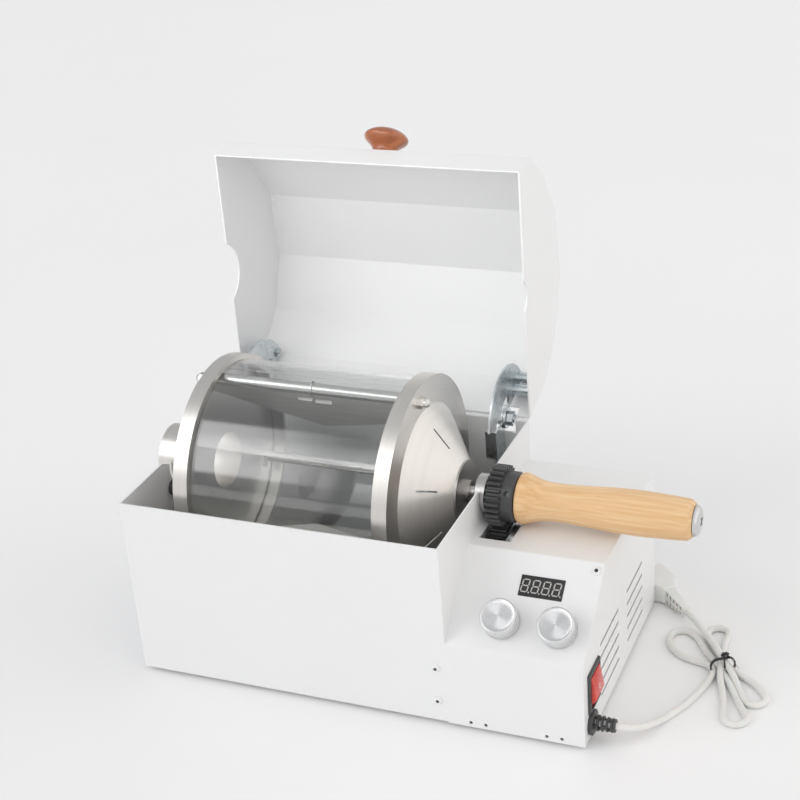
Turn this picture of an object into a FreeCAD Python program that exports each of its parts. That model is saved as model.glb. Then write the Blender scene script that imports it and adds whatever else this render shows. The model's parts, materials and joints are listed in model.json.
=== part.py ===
"""Home coffee bean roaster: a glass drum turned by a gear motor over heater tubes, in a folded sheet box.

Working frame, in millimetres: X runs along the drum towards the handle, Y from the front to the back,
Z up. Zero is the front left lower corner of the sheet box. save() moves every part so that the
finished model's origin is the middle of its footprint, at the height of the feet.
"""
import FreeCAD, Part
import math
import os

from FreeCAD import Vector

# ---- sheet box under the drum; its length follows from the drum's ----
SHEET = 1.2                     # powder-coated steel
FOLD_RADIUS = 1.6               # outside of every fold
BODY_DEPTH = 192.0
BODY_HEIGHT = 138.0
REAR_LEDGE = 8.0                # folded rim that the open lid rests on
END_TAB = 12.0                  # folded tabs of the end plates, behind the front and back panels
SEAM_GAP = 0.3                  # open seams between plates that move apart
FOOT_HEIGHT = 3.0
FOOT_RADIUS = 7.0
FOOT_INSET = 18.0

# ---- drum ----
DRUM_FORWARD = 2.0              # axis in front of the sheet box's middle
DRUM_DROP = 9.0                 # axis below the sheet box's rim
DRUM_TURN = 5.0                 # degrees that the first tie rod stands in front of the top
FLANGE_RADIUS = 80.0
FLANGE_WIDTH = 11.0
FLANGE_WALL = 1.5
FLANGE_LIP = 3.0                # of the right flange, inside the cone's base
DRUM_LEFT = 36.0                # outer face of the left flange
DRUM_CLEAR_LENGTH = 140.0       # between the flanges' inner faces
HUB_ROOM = 16.0                 # from the cone's tip to the outer face of the right end plate
GLASS_RADIUS = 76.5
GLASS_WALL = 3.0
ROD_CIRCLE = 69.0               # radius of the tie rods' circle
ROD_COUNT = 3
ROD_RADIUS = 2.0
SLEEVE_RADIUS = 4.0
NUT_RADIUS = 4.6
LOCK_NUT_WIDTH = 5.0            # plain nuts under the domed ones, at the left flange
CONE_BASE_RADIUS = 60.0
CONE_LENGTH = 26.0
CONE_WALL = 1.2
CONE_SLOT_COUNT = 6
CONE_SLOT_LENGTH = 18.0
CONE_SLOT_WIDTH = 1.4
HUB_RADIUS = 22.0
HUB_WALL = 1.5
HUB_BOSS_RADIUS = 8.0
HUB_BOSS_LENGTH = 4.0
VANE_HEIGHT = 28.0              # from the rod's axis to the vane's tip
VANE_ENDS = (10.0, 17.0)        # the same at the left and at the right flange
VANE_SKEW = 7.0                 # tip to the right of the drum's middle
VANE_WALL = 1.2
VANE_TAB = 8.0
VANE_TIP = 3.0                  # half the width of the vane's blunt tip
FILLER_RADIUS = 22.5
FILLER_WALL = 1.5
FILLER_REACH = 9.0              # how far the filler tube stands out of the box

# ---- shaft, gears and handle ----
SHAFT_RADIUS = 4.0
RUNNING = 0.05                  # radial clearance of every running fit
BEARING_RADIUS = 14.0
BEARING_WIDTH = 8.0
BEARING_EDGE = 0.6
NOTCH_CLEARANCE = 0.2
GEAR_MODULE = 1.5
GEAR_TEETH = 27
PINION_TEETH = 15
GEAR_WIDTH = 10.0
PINION_OVERLAP = 1.0            # the pinion is this much wider than the gear, on each side
GEAR_BOSS_RADIUS = 7.0
GEAR_BOSS_LENGTH = 2.0
PRESSURE_ANGLE = math.radians(20)
FLANK_POINTS = 4
TOOTH_BACKLASH = 0.14
COLLAR_RADIUS = 18.0
COLLAR_WIDTH = 9.0
COLLAR_EDGE = 1.5
SET_SCREW_RADIUS = 2.0
SET_SCREW_LENGTH = 8.0
SET_SCREW_SOCKET = 3.2          # depth
SET_SCREW_TILT = 35.0           # degrees above the level, at the front
END_PLAY = 0.5                  # axial gap between the turning gear set and its neighbours
HANDLE_LENGTH = 122.0
HANDLE_FLARE = 18.4
HANDLE_FACE = 16.5              # radius of the face at the gears
HANDLE_PASSAGE = 7.5            # radius of the hole from the nut to the end
HANDLE_WAIST = 12.7
HANDLE_SWELL = 15.8
HANDLE_END = 13.6
HANDLE_STATIONS = (4.0, 27.0, 54.0, 84.0)    # of the flare, the waist, the middle and the swell
HANDLE_CHAMFER = 2.4
HANDLE_BUSH_RADIUS = 8.0
HANDLE_BUSH_LENGTH = 40.0
HANDLE_CAP_RADIUS = 9.5
HANDLE_CAP_HEIGHT = 4.5
HANDLE_CAP_EDGE = 2.7
HANDLE_CAP_SPIGOT = 4.0
SHAFT_NUT_RADIUS = 6.5
SHAFT_NUT_LENGTH = 6.0
SHAFT_TAIL = 2.0                # of the shaft, past its nut

# ---- cradle rollers under the filler tube ----
ROLLER_RADIUS = 6.0
ROLLER_WIDTH = 6.0
ROLLER_PIN_RADIUS = 2.0
ROLLER_PIN_HEAD = 3.6
ROLLER_HEAD_WIDTH = 1.5
ROLLER_ANGLES = (210.0, 330.0)  # round the drum axis, from +Y towards +Z
ROLLING_GAP = 0.3

# ---- heating ----
HEATER_RADIUS = 5.0
HEATER_SPREAD = 36.0            # each tube's distance from the drum's axis
HEATER_Z = 24.0
HOLDER_SIZE = 16.0
HOLDER_LENGTH = 13.0
TRAY_WALL = 0.8
TRAY_INSET = 14.0
TRAY_RISE = 26.0
TRAY_FLAT_INSET = 38.0

# ---- control box ----
CONTROL_WIDTH = 96.0
CONTROL_DEPTH = 185.0
CONTROL_FOLD_Z = 64.5
CONTROL_SLOPE_Y = 56.5
CONTROL_DROP = 28.5             # top panel below the sheet box's rim
GEAR_SLOT_X = (3.5, 26.5)       # the top panel's slot for the gears, from the control box's left side
GEAR_SLOT_HALF = 27.5
VENT_COLUMNS = ((40.0, 86.0), (107.5, 150.0))
VENT_COUNT = 5
VENT_TOP_Z = 55.2
VENT_PITCH = 10.2
VENT_HEIGHT = 2.6
DRAIN_X = (15.4, 26.2, 69.4, 79.9)
DRAIN_RADIUS = 1.3
DRAIN_Z = 3.4
PANEL_SCREW_X = 91.5
PANEL_SCREW_S = 66.0

# ---- operating parts ----
DISPLAY_X = 57.1
DISPLAY_S = 49.0                # up the slope from its lower fold
DISPLAY_WIDTH = 30.6
DISPLAY_HEIGHT = 15.0
DISPLAY_DEPTH = 8.0
DISPLAY_PROUD = 0.6
BOARD_WALL = 1.6
BOARD_MARGIN = 3.0              # above and below the display
BOARD_ENDS = (4.0, 2.0)         # past the left and the right potentiometer
KNOB_X = (36.0, 75.5)
KNOB_S = 21.5
KNOB_RADIUS = 12.5
KNOB_HEIGHT = 14.0
KNOB_GAP = 0.6
KNOB_EDGE = 0.8
KNOB_DISH = 0.4                 # depth of the sunk face
KNOB_RIM = 1.75                 # width of the rim round it
KNOB_DOT = 1.0
POT_RADIUS = 8.0
POT_DEPTH = 9.0
POT_BORE_DEPTH = 4.5            # below the panel
POT_NECK_RADIUS = 3.5
POT_SHAFT_RADIUS = 3.0
POT_SHAFT_LENGTH = 11.0
ROCKER_Y = 21.6
ROCKER_Z = 35.6
ROCKER_WIDTH = 25.6
ROCKER_HEIGHT = 31.0
ROCKER_FRAME = 2.4
ROCKER_PROUD = 2.0
ROCKER_DEPTH = 18.0
ROCKER_WALL = 1.2
ROCKER_EDGE = 1.2               # rounding of the frame's outer rim
ROCKER_GAP = 0.8                # round the button
ROCKER_RIDGE = 4.6              # button's ridge, in front of the panel
ROCKER_ROOT = 4.0               # button's back, behind its pivot
ROCKER_PIN_RADIUS = 1.5
ROCKER_PIN_LENGTH = 0.9
ROCKER_TILT = 8.0               # each way from the middle

# ---- gear motor ----
GEARBOX_RADIUS = 16.5
GEARBOX_LENGTH = 24.0
GEARBOX_OFFSET = 7.0            # output shaft above the gearbox's own axis
GEARBOX_BOSS_RADIUS = 6.0
MOTOR_RADIUS = 14.0
MOTOR_LENGTH = 40.0
MOTOR_SHAFT_RADIUS = 3.0
MOTOR_BORE_DEPTH = 12.0
BRACKET_X = 18.0                # from the control box's left side
BRACKET_WALL = 2.0
BRACKET_HALF_WIDTH = 22.0
BRACKET_FOOT = 24.0
BRACKET_HEADROOM = 3.0
MOTOR_SCREW_INSET = 3.5         # from the gearbox's rim
MOTOR_SCREW_ANGLES = (-30.0, 210.0)

# ---- power board ----
POWER_BOARD = 54.0              # square
POWER_BOARD_GAP = 8.0           # to the control box's right side and back
POST_HEIGHT = 8.0
POST_RADIUS = 2.5
POST_INSET = 5.0
TALL_BLOCKS = ((6.0, 8.0, 20.0, 22.0, 18.0),    # place on the board, length, depth and height
               (32.0, 8.0, 15.0, 16.0, 15.0))
CAPACITOR = (14.0, 42.0, 5.0, 20.0)             # place on the board, radius and height

# ---- lid ----
LID_FRONT_FOLDS = ((0.0, 0.0), (-2.0, 26.0), (18.0, 52.0), (58.0, 79.0))   # from the front, above the rim
LID_BACK_FOLDS = ((81.0, 84.5), (38.5, 68.0), (12.0, 38.0), (0.0, 0.0))     # from the back, above the rim
LID_OPEN = 90.0
FILLER_NOTCH_GAP = 2.0
NOTCH_LEAD_IN = (9.0, 4.6)      # width and depth of the left notch's slanted entry
BEARING_NOTCH_GAP = 1.0
LID_KNOB_RADIUS = 17.0
LID_KNOB_HEIGHT = 22.0
LID_KNOB_NECK = 7.0
LID_KNOB_CROWN = 3.5            # height of the crown above the brim
LID_KNOB_BORE = 0.5             # depth of the screw's hole, as a share of the height
LID_KNOB_PLACE = 0.5            # along the front slope, between its two folds
PIVOT_OUT = 1.3                 # pivot line, behind the back panel and below the lid's rim
STAY_INSET = 17.0               # stays, from the outer faces of the end plates
STAY_WALL = 1.6
STAY_RADIUS = 41.0
STAY_INNER = 18.0
STAY_TAIL = 82.0                # degrees below the level that the tail reaches when the lid is shut
STAY_CLEARANCE = 2.6            # to the inside of the lid and of the back panel
STAY_GAP = 0.3
EAR_RADIUS = 8.0
PIVOT_BOLT_RADIUS = 3.0
PIVOT_HEAD_RADIUS = 5.6
PIVOT_HEAD_WIDTH = 3.5
PIVOT_NUT_WIDTH = 4.5
PIVOT_NOTCH_GAP = 2.0
STAY_BOLTS = ((-15.5, 18.0), (-20.0, 30.0))   # from the pivot line, when the lid is shut
STAY_BOLT_RADIUS = 2.0
STAY_SPACER_RADIUS = 4.2
BOLT_TAIL = 1.0                 # of a bolt, past its nut
HINGE_BRACKET_DEPTH = 20.0
HINGE_BRACKET_DROP = 34.0
HINGE_BRACKET_FLANGE = 14.0

# ---- screws ----
SCREW_RADIUS = 1.5
SCREW_HEAD_RADIUS = 3.0
SCREW_HEAD_HEIGHT = 1.8
FRONT_SCREW_Z = (17.5, 44.0)
FRONT_SCREW_INSET = 7.4

# ---- mains cord ----
CORD_RADIUS = 3.0
CORD_CLEAR = 0.1                # under everything that lies on the surface beside the roaster
RELIEF_Y = 14.5
RELIEF_Z = 11.0
RELIEF_COLLAR_RADIUS = 9.0
RELIEF_COLLAR = 3.0
RELIEF_ROOT = 5.0               # inside the side panel
RELIEF_RADIUS = 5.6
RELIEF_LENGTH = 14.0
RELIEF_RIBS = 4
RELIEF_GROOVE = 4.4             # radius between the ribs
RELIEF_TAPER = 1.0              # that the ribs lose along the whole relief
CORD_ROUTE = ((0.0, 0.0, 0.0), (11.0, 1.5, -1.5), (18.5, 10.6, -5.0), (22.7, 23.6, -9.0),
              (27.5, 39.5, -10.9), (36.0, 58.5, -10.9), (41.5, 76.0, -10.9), (43.5, 88.0, -10.9))
#                               # from the strain relief's tip to the hank
HANK_HEIGHT = 15.5
LOOP_HEIGHT = 11.6
HANK_LOOPS = (((50.0, 92.0), (72.0, 45.0), 6.0),     # two ends and half the width of every loop, in
              ((60.0, 90.0), (72.0, 71.0), 10.0),    # plan from the strain relief's tip
              ((24.0, 117.0), (26.0, 115.0), 15.0),
              ((46.0, 112.0), (43.0, 137.0), 5.0))
HANK_WAIST = ((44.0, 104.5), (53.0, 90.5), 8.5)
PLUG_PLACE = (11.0, 157.5)      # where the cord enters the plug, from the strain relief's tip
PLUG_ANGLE = 134.4              # from +X towards +Y
TIE_WIDTH = 3.0
TIE_WALL = 1.3
PLUG_LENGTH = 30.0
PLUG_WIDTH = 20.0
PLUG_HEIGHT = 19.0
PLUG_NECK = 24.0
PLUG_NECK_RADIUS = 6.0
PLUG_NECK_WALL = 1.2
PLUG_RIBS = 6
PLUG_RIB_DEPTH = 0.8
PLUG_EDGE = 2.5
PLUG_AXIS_Z = 6.5               # above the surface that the roaster stands on
PIN_RADIUS = 2.0
PIN_LENGTH = 19.0
PIN_SPREAD = 12.7

# ---- places worked out from the sizes above ----
BODY_LENGTH = DRUM_LEFT + 2 * FLANGE_WIDTH + DRUM_CLEAR_LENGTH + CONE_LENGTH + HUB_ROOM
DRUM_Y = BODY_DEPTH / 2 - DRUM_FORWARD
DRUM_Z = BODY_HEIGHT - DRUM_DROP
HEATER_ROWS = (DRUM_Y - HEATER_SPREAD, DRUM_Y + HEATER_SPREAD)
CONTROL_TOP_Z = BODY_HEIGHT - CONTROL_DROP
CONTROL_RIGHT = BODY_LENGTH + CONTROL_WIDTH
DRUM_IN_LEFT = DRUM_LEFT + FLANGE_WIDTH
DRUM_IN_RIGHT = DRUM_IN_LEFT + DRUM_CLEAR_LENGTH
DRUM_RIGHT = DRUM_IN_RIGHT + FLANGE_WIDTH
HUB_X = DRUM_RIGHT + CONE_LENGTH
BEARING_X = BODY_LENGTH - SHEET / 2 - BEARING_WIDTH / 2
GEAR_BOSS_X = BEARING_X + BEARING_WIDTH + END_PLAY
GEAR_X = GEAR_BOSS_X + GEAR_BOSS_LENGTH
COLLAR_X = GEAR_X + GEAR_WIDTH
HANDLE_X = COLLAR_X + COLLAR_WIDTH + END_PLAY
HANDLE_END_X = HANDLE_X + HANDLE_LENGTH
SHAFT_NUT_X = HANDLE_X + HANDLE_BUSH_LENGTH + END_PLAY
CENTRE_DISTANCE = GEAR_MODULE * (GEAR_TEETH + PINION_TEETH) / 2
PINION_Z = DRUM_Z - CENTRE_DISTANCE
LID_RIM_Z = BODY_HEIGHT + SEAM_GAP
PIVOT_Y = BODY_DEPTH + PIVOT_OUT
PIVOT_Z = LID_RIM_Z - PIVOT_OUT
SLOPE_ANGLE = math.degrees(math.atan2(CONTROL_TOP_Z - CONTROL_FOLD_Z, CONTROL_SLOPE_Y))
RELIEF_TIP = Vector(CONTROL_RIGHT + RELIEF_COLLAR + RELIEF_LENGTH, RELIEF_Y, RELIEF_Z)

parts = {}
CORD_NODES = ("power_cord", "cord_hank", "cord_tie", "power_plug")


# ---- shape helpers ----
def block(low, high):
    size = Vector(*high) - Vector(*low)
    return Part.makeBox(size.x, size.y, size.z, Vector(*low))


def rod_x(radius, x0, x1, y, z):
    return Part.makeCylinder(radius, x1 - x0, Vector(x0, y, z), Vector(1, 0, 0))


def rod_y(radius, x, y0, y1, z):
    return Part.makeCylinder(radius, y1 - y0, Vector(x, y0, z), Vector(0, 1, 0))


def rod_z(radius, x, y, z0, z1):
    return Part.makeCylinder(radius, z1 - z0, Vector(x, y, z0), Vector(0, 0, 1))


def prism_x(outline, x0, x1):
    """Solid between x0 and x1 with a (y, z) outline."""
    points = [Vector(x0, y, z) for y, z in outline]
    face = Part.Face(Part.makePolygon(points + points[:1]))
    return face.extrude(Vector(x1 - x0, 0, 0))


def turned(profile, y=DRUM_Y, z=DRUM_Z):
    """Solid of revolution about an X-wise axis; the profile is a list of (x, radius) points."""
    points = [Vector(x, y, z + r) for x, r in profile]
    face = Part.Face(Part.makePolygon(points + points[:1]))
    return face.revolve(Vector(0, y, z), Vector(1, 0, 0), 360)


def on_circle(radius, angle, y=DRUM_Y, z=DRUM_Z):
    """(y, z) of a point at an angle from +Y towards +Z."""
    turn = math.radians(angle)
    return y + radius * math.cos(turn), z + radius * math.sin(turn)


def fuse(shapes):
    solid = shapes[0].fuse(shapes[1:]) if len(shapes) > 1 else shapes[0]
    return solid.removeSplitter()


def cut(shape, tools):
    return shape.cut(Part.makeCompound(tools))


def group(shapes):
    return Part.makeCompound(shapes)


def offset_left(outline, distance):
    """Mitred copy of an open (y, z) line, moved to the left of its direction."""
    normals = []
    for (y0, z0), (y1, z1) in zip(outline, outline[1:]):
        length = math.hypot(y1 - y0, z1 - z0)
        normals.append((-(z1 - z0) / length, (y1 - y0) / length))
    moved = []
    for i, (y, z) in enumerate(outline):
        before = normals[max(i - 1, 0)]
        after = normals[min(i, len(normals) - 1)]
        scale = distance / (1 + before[0] * after[0] + before[1] * after[1])
        moved.append((y + scale * (before[0] + after[0]), z + scale * (before[1] + after[1])))
    return moved


def folded_sheet(outline, wall, x0, x1):
    """Sheet folded along an open (y, z) line, thickened to the left, with rounded folds."""
    inner = offset_left(outline, wall)
    sheet = prism_x(list(outline) + inner[::-1], x0, x1)
    turns = []
    for i in range(1, len(outline) - 1):
        (ya, za), (yb, zb), (yc, zc) = outline[i - 1:i + 2]
        leftward = (yb - ya) * (zc - zb) - (zb - za) * (yc - yb) > 0
        radii = (FOLD_RADIUS, FOLD_RADIUS - wall) if leftward else (FOLD_RADIUS - wall, FOLD_RADIUS)
        turns += [(outline[i], radii[0]), (inner[i], radii[1])]
    for (y, z), radius in turns:
        edges = [e for e in sheet.Edges if e.Length > 0.9 * (x1 - x0) and on_line(e, y, z)]
        sheet = sheet.makeFillet(radius, edges)
    return sheet


def folded_plate(outline, x0, x1):
    """Flat plate that closes the end of a folded sheet, with the same rounded folds."""
    plate = prism_x(outline, x0, x1)
    folds = [e for e in plate.Edges if any(on_line(e, y, z) for y, z in outline[1:-1])]
    return plate.makeFillet(FOLD_RADIUS, folds)


def on_line(edge, y, z):
    middle = edge.CenterOfMass
    return abs(middle.y - y) < 1e-3 and abs(middle.z - z) < 1e-3


def slope_shape(shape, x, s):
    """Move a shape modelled flat at the origin onto the slope: x from the left, s up from its fold."""
    turn = math.radians(SLOPE_ANGLE)
    copy = shape.copy()
    copy.rotate(Vector(0, 0, 0), Vector(1, 0, 0), SLOPE_ANGLE)
    copy.translate(Vector(BODY_LENGTH + x, s * math.cos(turn), CONTROL_FOLD_Z + s * math.sin(turn)))
    return copy


def both_ends(shape):
    """The shape and its mirror image in the middle of the sheet box."""
    return [shape, shape.mirror(Vector(BODY_LENGTH / 2, 0, 0), Vector(1, 0, 0))]


def pan_screw(tip, direction, length):
    """Pan-head screw with its head's seat at tip, pointing along direction."""
    shank = Part.makeCylinder(SCREW_RADIUS, length, tip, direction)
    head = Part.makeCylinder(SCREW_HEAD_RADIUS, SCREW_HEAD_HEIGHT, tip, direction * -1)
    rim = [e for e in head.Edges if e.Closed and (e.CenterOfMass - tip).Length > SCREW_HEAD_HEIGHT / 2]
    return fuse([shank, head.makeChamfer(SCREW_HEAD_HEIGHT * 0.5, rim)])


# ---- sheet box ----
def pivot_notches(y0, z0, y1, z1):
    """Clear space for the lid's pivots, through a panel near both ends."""
    x0 = STAY_INSET - PIVOT_NUT_WIDTH - PIVOT_NOTCH_GAP
    x1 = STAY_INSET + 2 * STAY_WALL + STAY_GAP + PIVOT_HEAD_WIDTH + PIVOT_NOTCH_GAP
    return both_ends(block((x0, y0, z0), (x1, y1, z1)))


def body_wrap():
    """Front, bottom and back in one folded sheet, with a ledge along the back rim."""
    ledge_z = BODY_HEIGHT - SHEET
    outline = [(0, BODY_HEIGHT), (0, 0), (BODY_DEPTH, 0), (BODY_DEPTH, ledge_z),
               (BODY_DEPTH + REAR_LEDGE, ledge_z)]
    wrap = folded_sheet(outline, SHEET, SHEET, BODY_LENGTH - SHEET)
    notch_z = PIVOT_Z - EAR_RADIUS - PIVOT_NOTCH_GAP
    tools = pivot_notches(BODY_DEPTH - FOLD_RADIUS - SHEET, notch_z, BODY_DEPTH + REAR_LEDGE + 1,
                          BODY_HEIGHT + 1)
    for z in FRONT_SCREW_Z:
        tools.append(rod_y(SCREW_RADIUS, BODY_LENGTH - FRONT_SCREW_INSET, -1, SHEET + 1, z))
    return cut(wrap, tools)


def end_plate(outer, inner, notch_radius):
    """Plate with tabs folded in at the front, bottom and back, and a U-shaped notch in its rim."""
    plate = block((min(outer, inner), 0, 0), (max(outer, inner), BODY_DEPTH, BODY_HEIGHT))
    reach = inner + (END_TAB if inner > outer else -END_TAB)
    x0, x1 = min(inner, reach), max(inner, reach)
    low, front, back = FOLD_RADIUS, SHEET, BODY_DEPTH - SHEET
    top = PIVOT_Z - EAR_RADIUS - PIVOT_NOTCH_GAP
    tabs = [block((x0, front, low), (x1, front + SHEET, BODY_HEIGHT - 2 * SHEET)),
            block((x0, back - SHEET, low), (x1, back, top)),
            block((x0, low, SHEET), (x1, BODY_DEPTH - low, 2 * SHEET))]
    notch = [rod_x(notch_radius, min(outer, inner) - 1, max(outer, inner) + 1, DRUM_Y, DRUM_Z),
             block((min(outer, inner) - 1, DRUM_Y - notch_radius, DRUM_Z),
                   (max(outer, inner) + 1, DRUM_Y + notch_radius, BODY_HEIGHT + 1))]
    return cut(fuse([plate] + tabs), notch)


def left_end_plate():
    notch = FILLER_RADIUS + FILLER_NOTCH_GAP
    wide, deep = notch + NOTCH_LEAD_IN[0], NOTCH_LEAD_IN[1]
    lead_in = prism_x([(DRUM_Y - wide, BODY_HEIGHT), (DRUM_Y - notch, BODY_HEIGHT - deep),
                       (DRUM_Y + notch, BODY_HEIGHT - deep), (DRUM_Y + wide, BODY_HEIGHT)], -1, SHEET + 1)
    plate = end_plate(0.0, SHEET, notch).cut(lead_in)
    pins = [rod_x(ROLLER_PIN_RADIUS, -1, SHEET + 1, *roller_axis(angle)) for angle in ROLLER_ANGLES]
    return cut(plate, pins)


def right_end_plate():
    plate = end_plate(BODY_LENGTH, BODY_LENGTH - SHEET, BEARING_RADIUS + NOTCH_CLEARANCE)
    holes = [rod_y(SCREW_RADIUS, BODY_LENGTH - FRONT_SCREW_INSET, 0, 3 * SHEET, z) for z in FRONT_SCREW_Z]
    return cut(plate, holes)


def case_screws():
    """The identical pan screws of the sheet box, the control box's slope and the motor's bracket."""
    x = BODY_LENGTH - FRONT_SCREW_INSET
    screws = [pan_screw(Vector(x, 0, z), Vector(0, 1, 0), 3 * SHEET) for z in FRONT_SCREW_Z]
    screws.append(slope_shape(pan_screw(Vector(0, 0, 0), Vector(0, 0, -1), 3 * SHEET),
                              PANEL_SCREW_X, PANEL_SCREW_S))
    bracket_x = BODY_LENGTH + BRACKET_X
    screws += [pan_screw(Vector(bracket_x, y, z), Vector(1, 0, 0), BRACKET_WALL)
               for y, z in motor_screw_places()]
    return group(screws)


def rubber_feet():
    right = CONTROL_RIGHT - FOOT_INSET
    places = [(FOOT_INSET, FOOT_INSET), (FOOT_INSET, BODY_DEPTH - FOOT_INSET),
              (BODY_LENGTH - FOOT_INSET, FOOT_INSET), (BODY_LENGTH - FOOT_INSET, BODY_DEPTH - FOOT_INSET),
              (right, FOOT_INSET), (right, CONTROL_DEPTH - FOOT_INSET)]
    return group([rod_z(FOOT_RADIUS, x, y, -FOOT_HEIGHT, 0) for x, y in places])


def reflector_tray():
    rise = SHEET + TRAY_RISE
    outline = [(TRAY_INSET, rise), (TRAY_FLAT_INSET, SHEET), (BODY_DEPTH - TRAY_FLAT_INSET, SHEET),
               (BODY_DEPTH - TRAY_INSET, rise)]
    return folded_sheet(outline, TRAY_WALL, SHEET + HOLDER_LENGTH, BODY_LENGTH - SHEET - HOLDER_LENGTH)


def heater_tubes():
    x0, x1 = SHEET + HOLDER_LENGTH / 2, BODY_LENGTH - SHEET - HOLDER_LENGTH / 2
    return group([rod_x(HEATER_RADIUS, x0, x1, y, HEATER_Z) for y in HEATER_ROWS])


def heater_holders():
    half = HOLDER_SIZE / 2
    holders = []
    for y in HEATER_ROWS:
        holder = block((SHEET, y - half, HEATER_Z - half), (SHEET + HOLDER_LENGTH, y + half, HEATER_Z + half))
        socket = rod_x(HEATER_RADIUS, SHEET + HOLDER_LENGTH / 2, SHEET + HOLDER_LENGTH, y, HEATER_Z)
        holders += both_ends(holder.cut(socket))
    return group(holders)


# ---- cradle rollers ----
def roller_axis(angle):
    return on_circle(FILLER_RADIUS + ROLLING_GAP + ROLLER_RADIUS, angle)


def cradle_roller(angle):
    x0 = SHEET + END_PLAY
    y, z = roller_axis(angle)
    wheel = rod_x(ROLLER_RADIUS, x0, x0 + ROLLER_WIDTH, y, z)
    return wheel.cut(rod_x(ROLLER_PIN_RADIUS + RUNNING, x0, x0 + ROLLER_WIDTH, y, z))


def roller_pins():
    head_x = SHEET + 2 * END_PLAY + ROLLER_WIDTH
    pins = []
    for angle in ROLLER_ANGLES:
        y, z = roller_axis(angle)
        pins.append(fuse([rod_x(ROLLER_PIN_RADIUS, 0, head_x, y, z),
                          rod_x(ROLLER_PIN_HEAD, head_x, head_x + ROLLER_HEAD_WIDTH, y, z)]))
    return group(pins)


# ---- drum ----
def rod_places():
    return [on_circle(ROD_CIRCLE, 90 + DRUM_TURN + i * 360 / ROD_COUNT) for i in range(ROD_COUNT)]


def rod_holes(x0, x1):
    return [rod_x(ROD_RADIUS, x0, x1, y, z) for y, z in rod_places()]


def flange_ring(outer, inner, bore):
    """Turned end ring: a thick rim that the glass fits into, and a face wall on its outer side."""
    wall = outer + (FLANGE_WALL if inner > outer else -FLANGE_WALL)
    return turned([(outer, bore), (outer, FLANGE_RADIUS), (inner, FLANGE_RADIUS), (inner, GLASS_RADIUS),
                   (wall, GLASS_RADIUS), (wall, bore)])


def left_flange():
    ring = flange_ring(DRUM_LEFT, DRUM_IN_LEFT, FILLER_RADIUS)
    return cut(ring, rod_holes(DRUM_LEFT - 1, DRUM_IN_LEFT + 1))


def right_flange():
    ring = flange_ring(DRUM_RIGHT, DRUM_IN_RIGHT, CONE_BASE_RADIUS - CONE_WALL - FLANGE_LIP)
    return cut(ring, rod_holes(DRUM_IN_RIGHT - 1, DRUM_RIGHT + 1))


def glass_cylinder():
    x0, x1 = DRUM_LEFT + FLANGE_WALL, DRUM_RIGHT - FLANGE_WALL
    tube = rod_x(GLASS_RADIUS, x0, x1, DRUM_Y, DRUM_Z)
    return tube.cut(rod_x(GLASS_RADIUS - GLASS_WALL, x0, x1, DRUM_Y, DRUM_Z))


def drum_cone():
    """Spun cone from the right flange to the hub, with narrow chaff slots."""
    inner_base, inner_tip = CONE_BASE_RADIUS - CONE_WALL, HUB_RADIUS - CONE_WALL
    cone = turned([(DRUM_RIGHT, inner_base), (DRUM_RIGHT, CONE_BASE_RADIUS), (HUB_X, HUB_RADIUS),
                   (HUB_X, inner_tip)])
    slant = math.degrees(math.atan2(CONE_BASE_RADIUS - HUB_RADIUS, CONE_LENGTH))
    middle = Vector(DRUM_RIGHT + CONE_LENGTH / 2, DRUM_Y, DRUM_Z + (CONE_BASE_RADIUS + HUB_RADIUS) / 2)
    slots = []
    for i in range(CONE_SLOT_COUNT):
        slot = Part.makeBox(CONE_SLOT_LENGTH, CONE_SLOT_WIDTH, 6 * CONE_WALL,
                            middle - Vector(CONE_SLOT_LENGTH / 2, CONE_SLOT_WIDTH / 2, 3 * CONE_WALL))
        slot.rotate(middle, Vector(0, 1, 0), slant)
        slot.rotate(Vector(0, DRUM_Y, DRUM_Z), Vector(1, 0, 0), DRUM_TURN + i * 360 / CONE_SLOT_COUNT)
        slots.append(slot)
    return cut(cone, slots)


def hub_plate():
    face = HUB_X + HUB_WALL
    end = face + HUB_BOSS_LENGTH
    return turned([(HUB_X, SHAFT_RADIUS), (HUB_X, HUB_RADIUS), (face, HUB_RADIUS), (face, HUB_BOSS_RADIUS),
                   (end, HUB_BOSS_RADIUS), (end, SHAFT_RADIUS)])


def tie_rods():
    x0, x1 = DRUM_LEFT - LOCK_NUT_WIDTH - NUT_RADIUS, DRUM_RIGHT + NUT_RADIUS
    return group([rod_x(ROD_RADIUS, x0, x1, y, z) for y, z in rod_places()])


def rod_sleeves():
    """Spacer tubes over the tie rods, between the flanges' face walls."""
    x0, x1 = DRUM_LEFT + FLANGE_WALL, DRUM_RIGHT - FLANGE_WALL
    return group([rod_x(SLEEVE_RADIUS, x0, x1, y, z).cut(rod_x(ROD_RADIUS, x0, x1, y, z))
                  for y, z in rod_places()])


def acorn_nuts():
    """Domed nuts on both ends of every tie rod, over plain lock nuts at the left."""
    crown = NUT_RADIUS * 0.8
    nuts = []
    for y, z in rod_places():
        corners = [on_circle(NUT_RADIUS, 60 * i, y, z) for i in range(6)]
        for seat, face, step in ((DRUM_LEFT, DRUM_LEFT - LOCK_NUT_WIDTH, -1), (DRUM_RIGHT, DRUM_RIGHT, 1)):
            top = face + step * crown
            dome = Part.makeSphere(crown, Vector(top, y, z), Vector(step, 0, 0), 0, 90)
            tip = face + step * NUT_RADIUS
            bore = rod_x(ROD_RADIUS, min(seat, tip), max(seat, tip), y, z)
            nuts.append(fuse([prism_x(corners, seat, top), dome]).cut(bore))
    return group(nuts)


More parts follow.
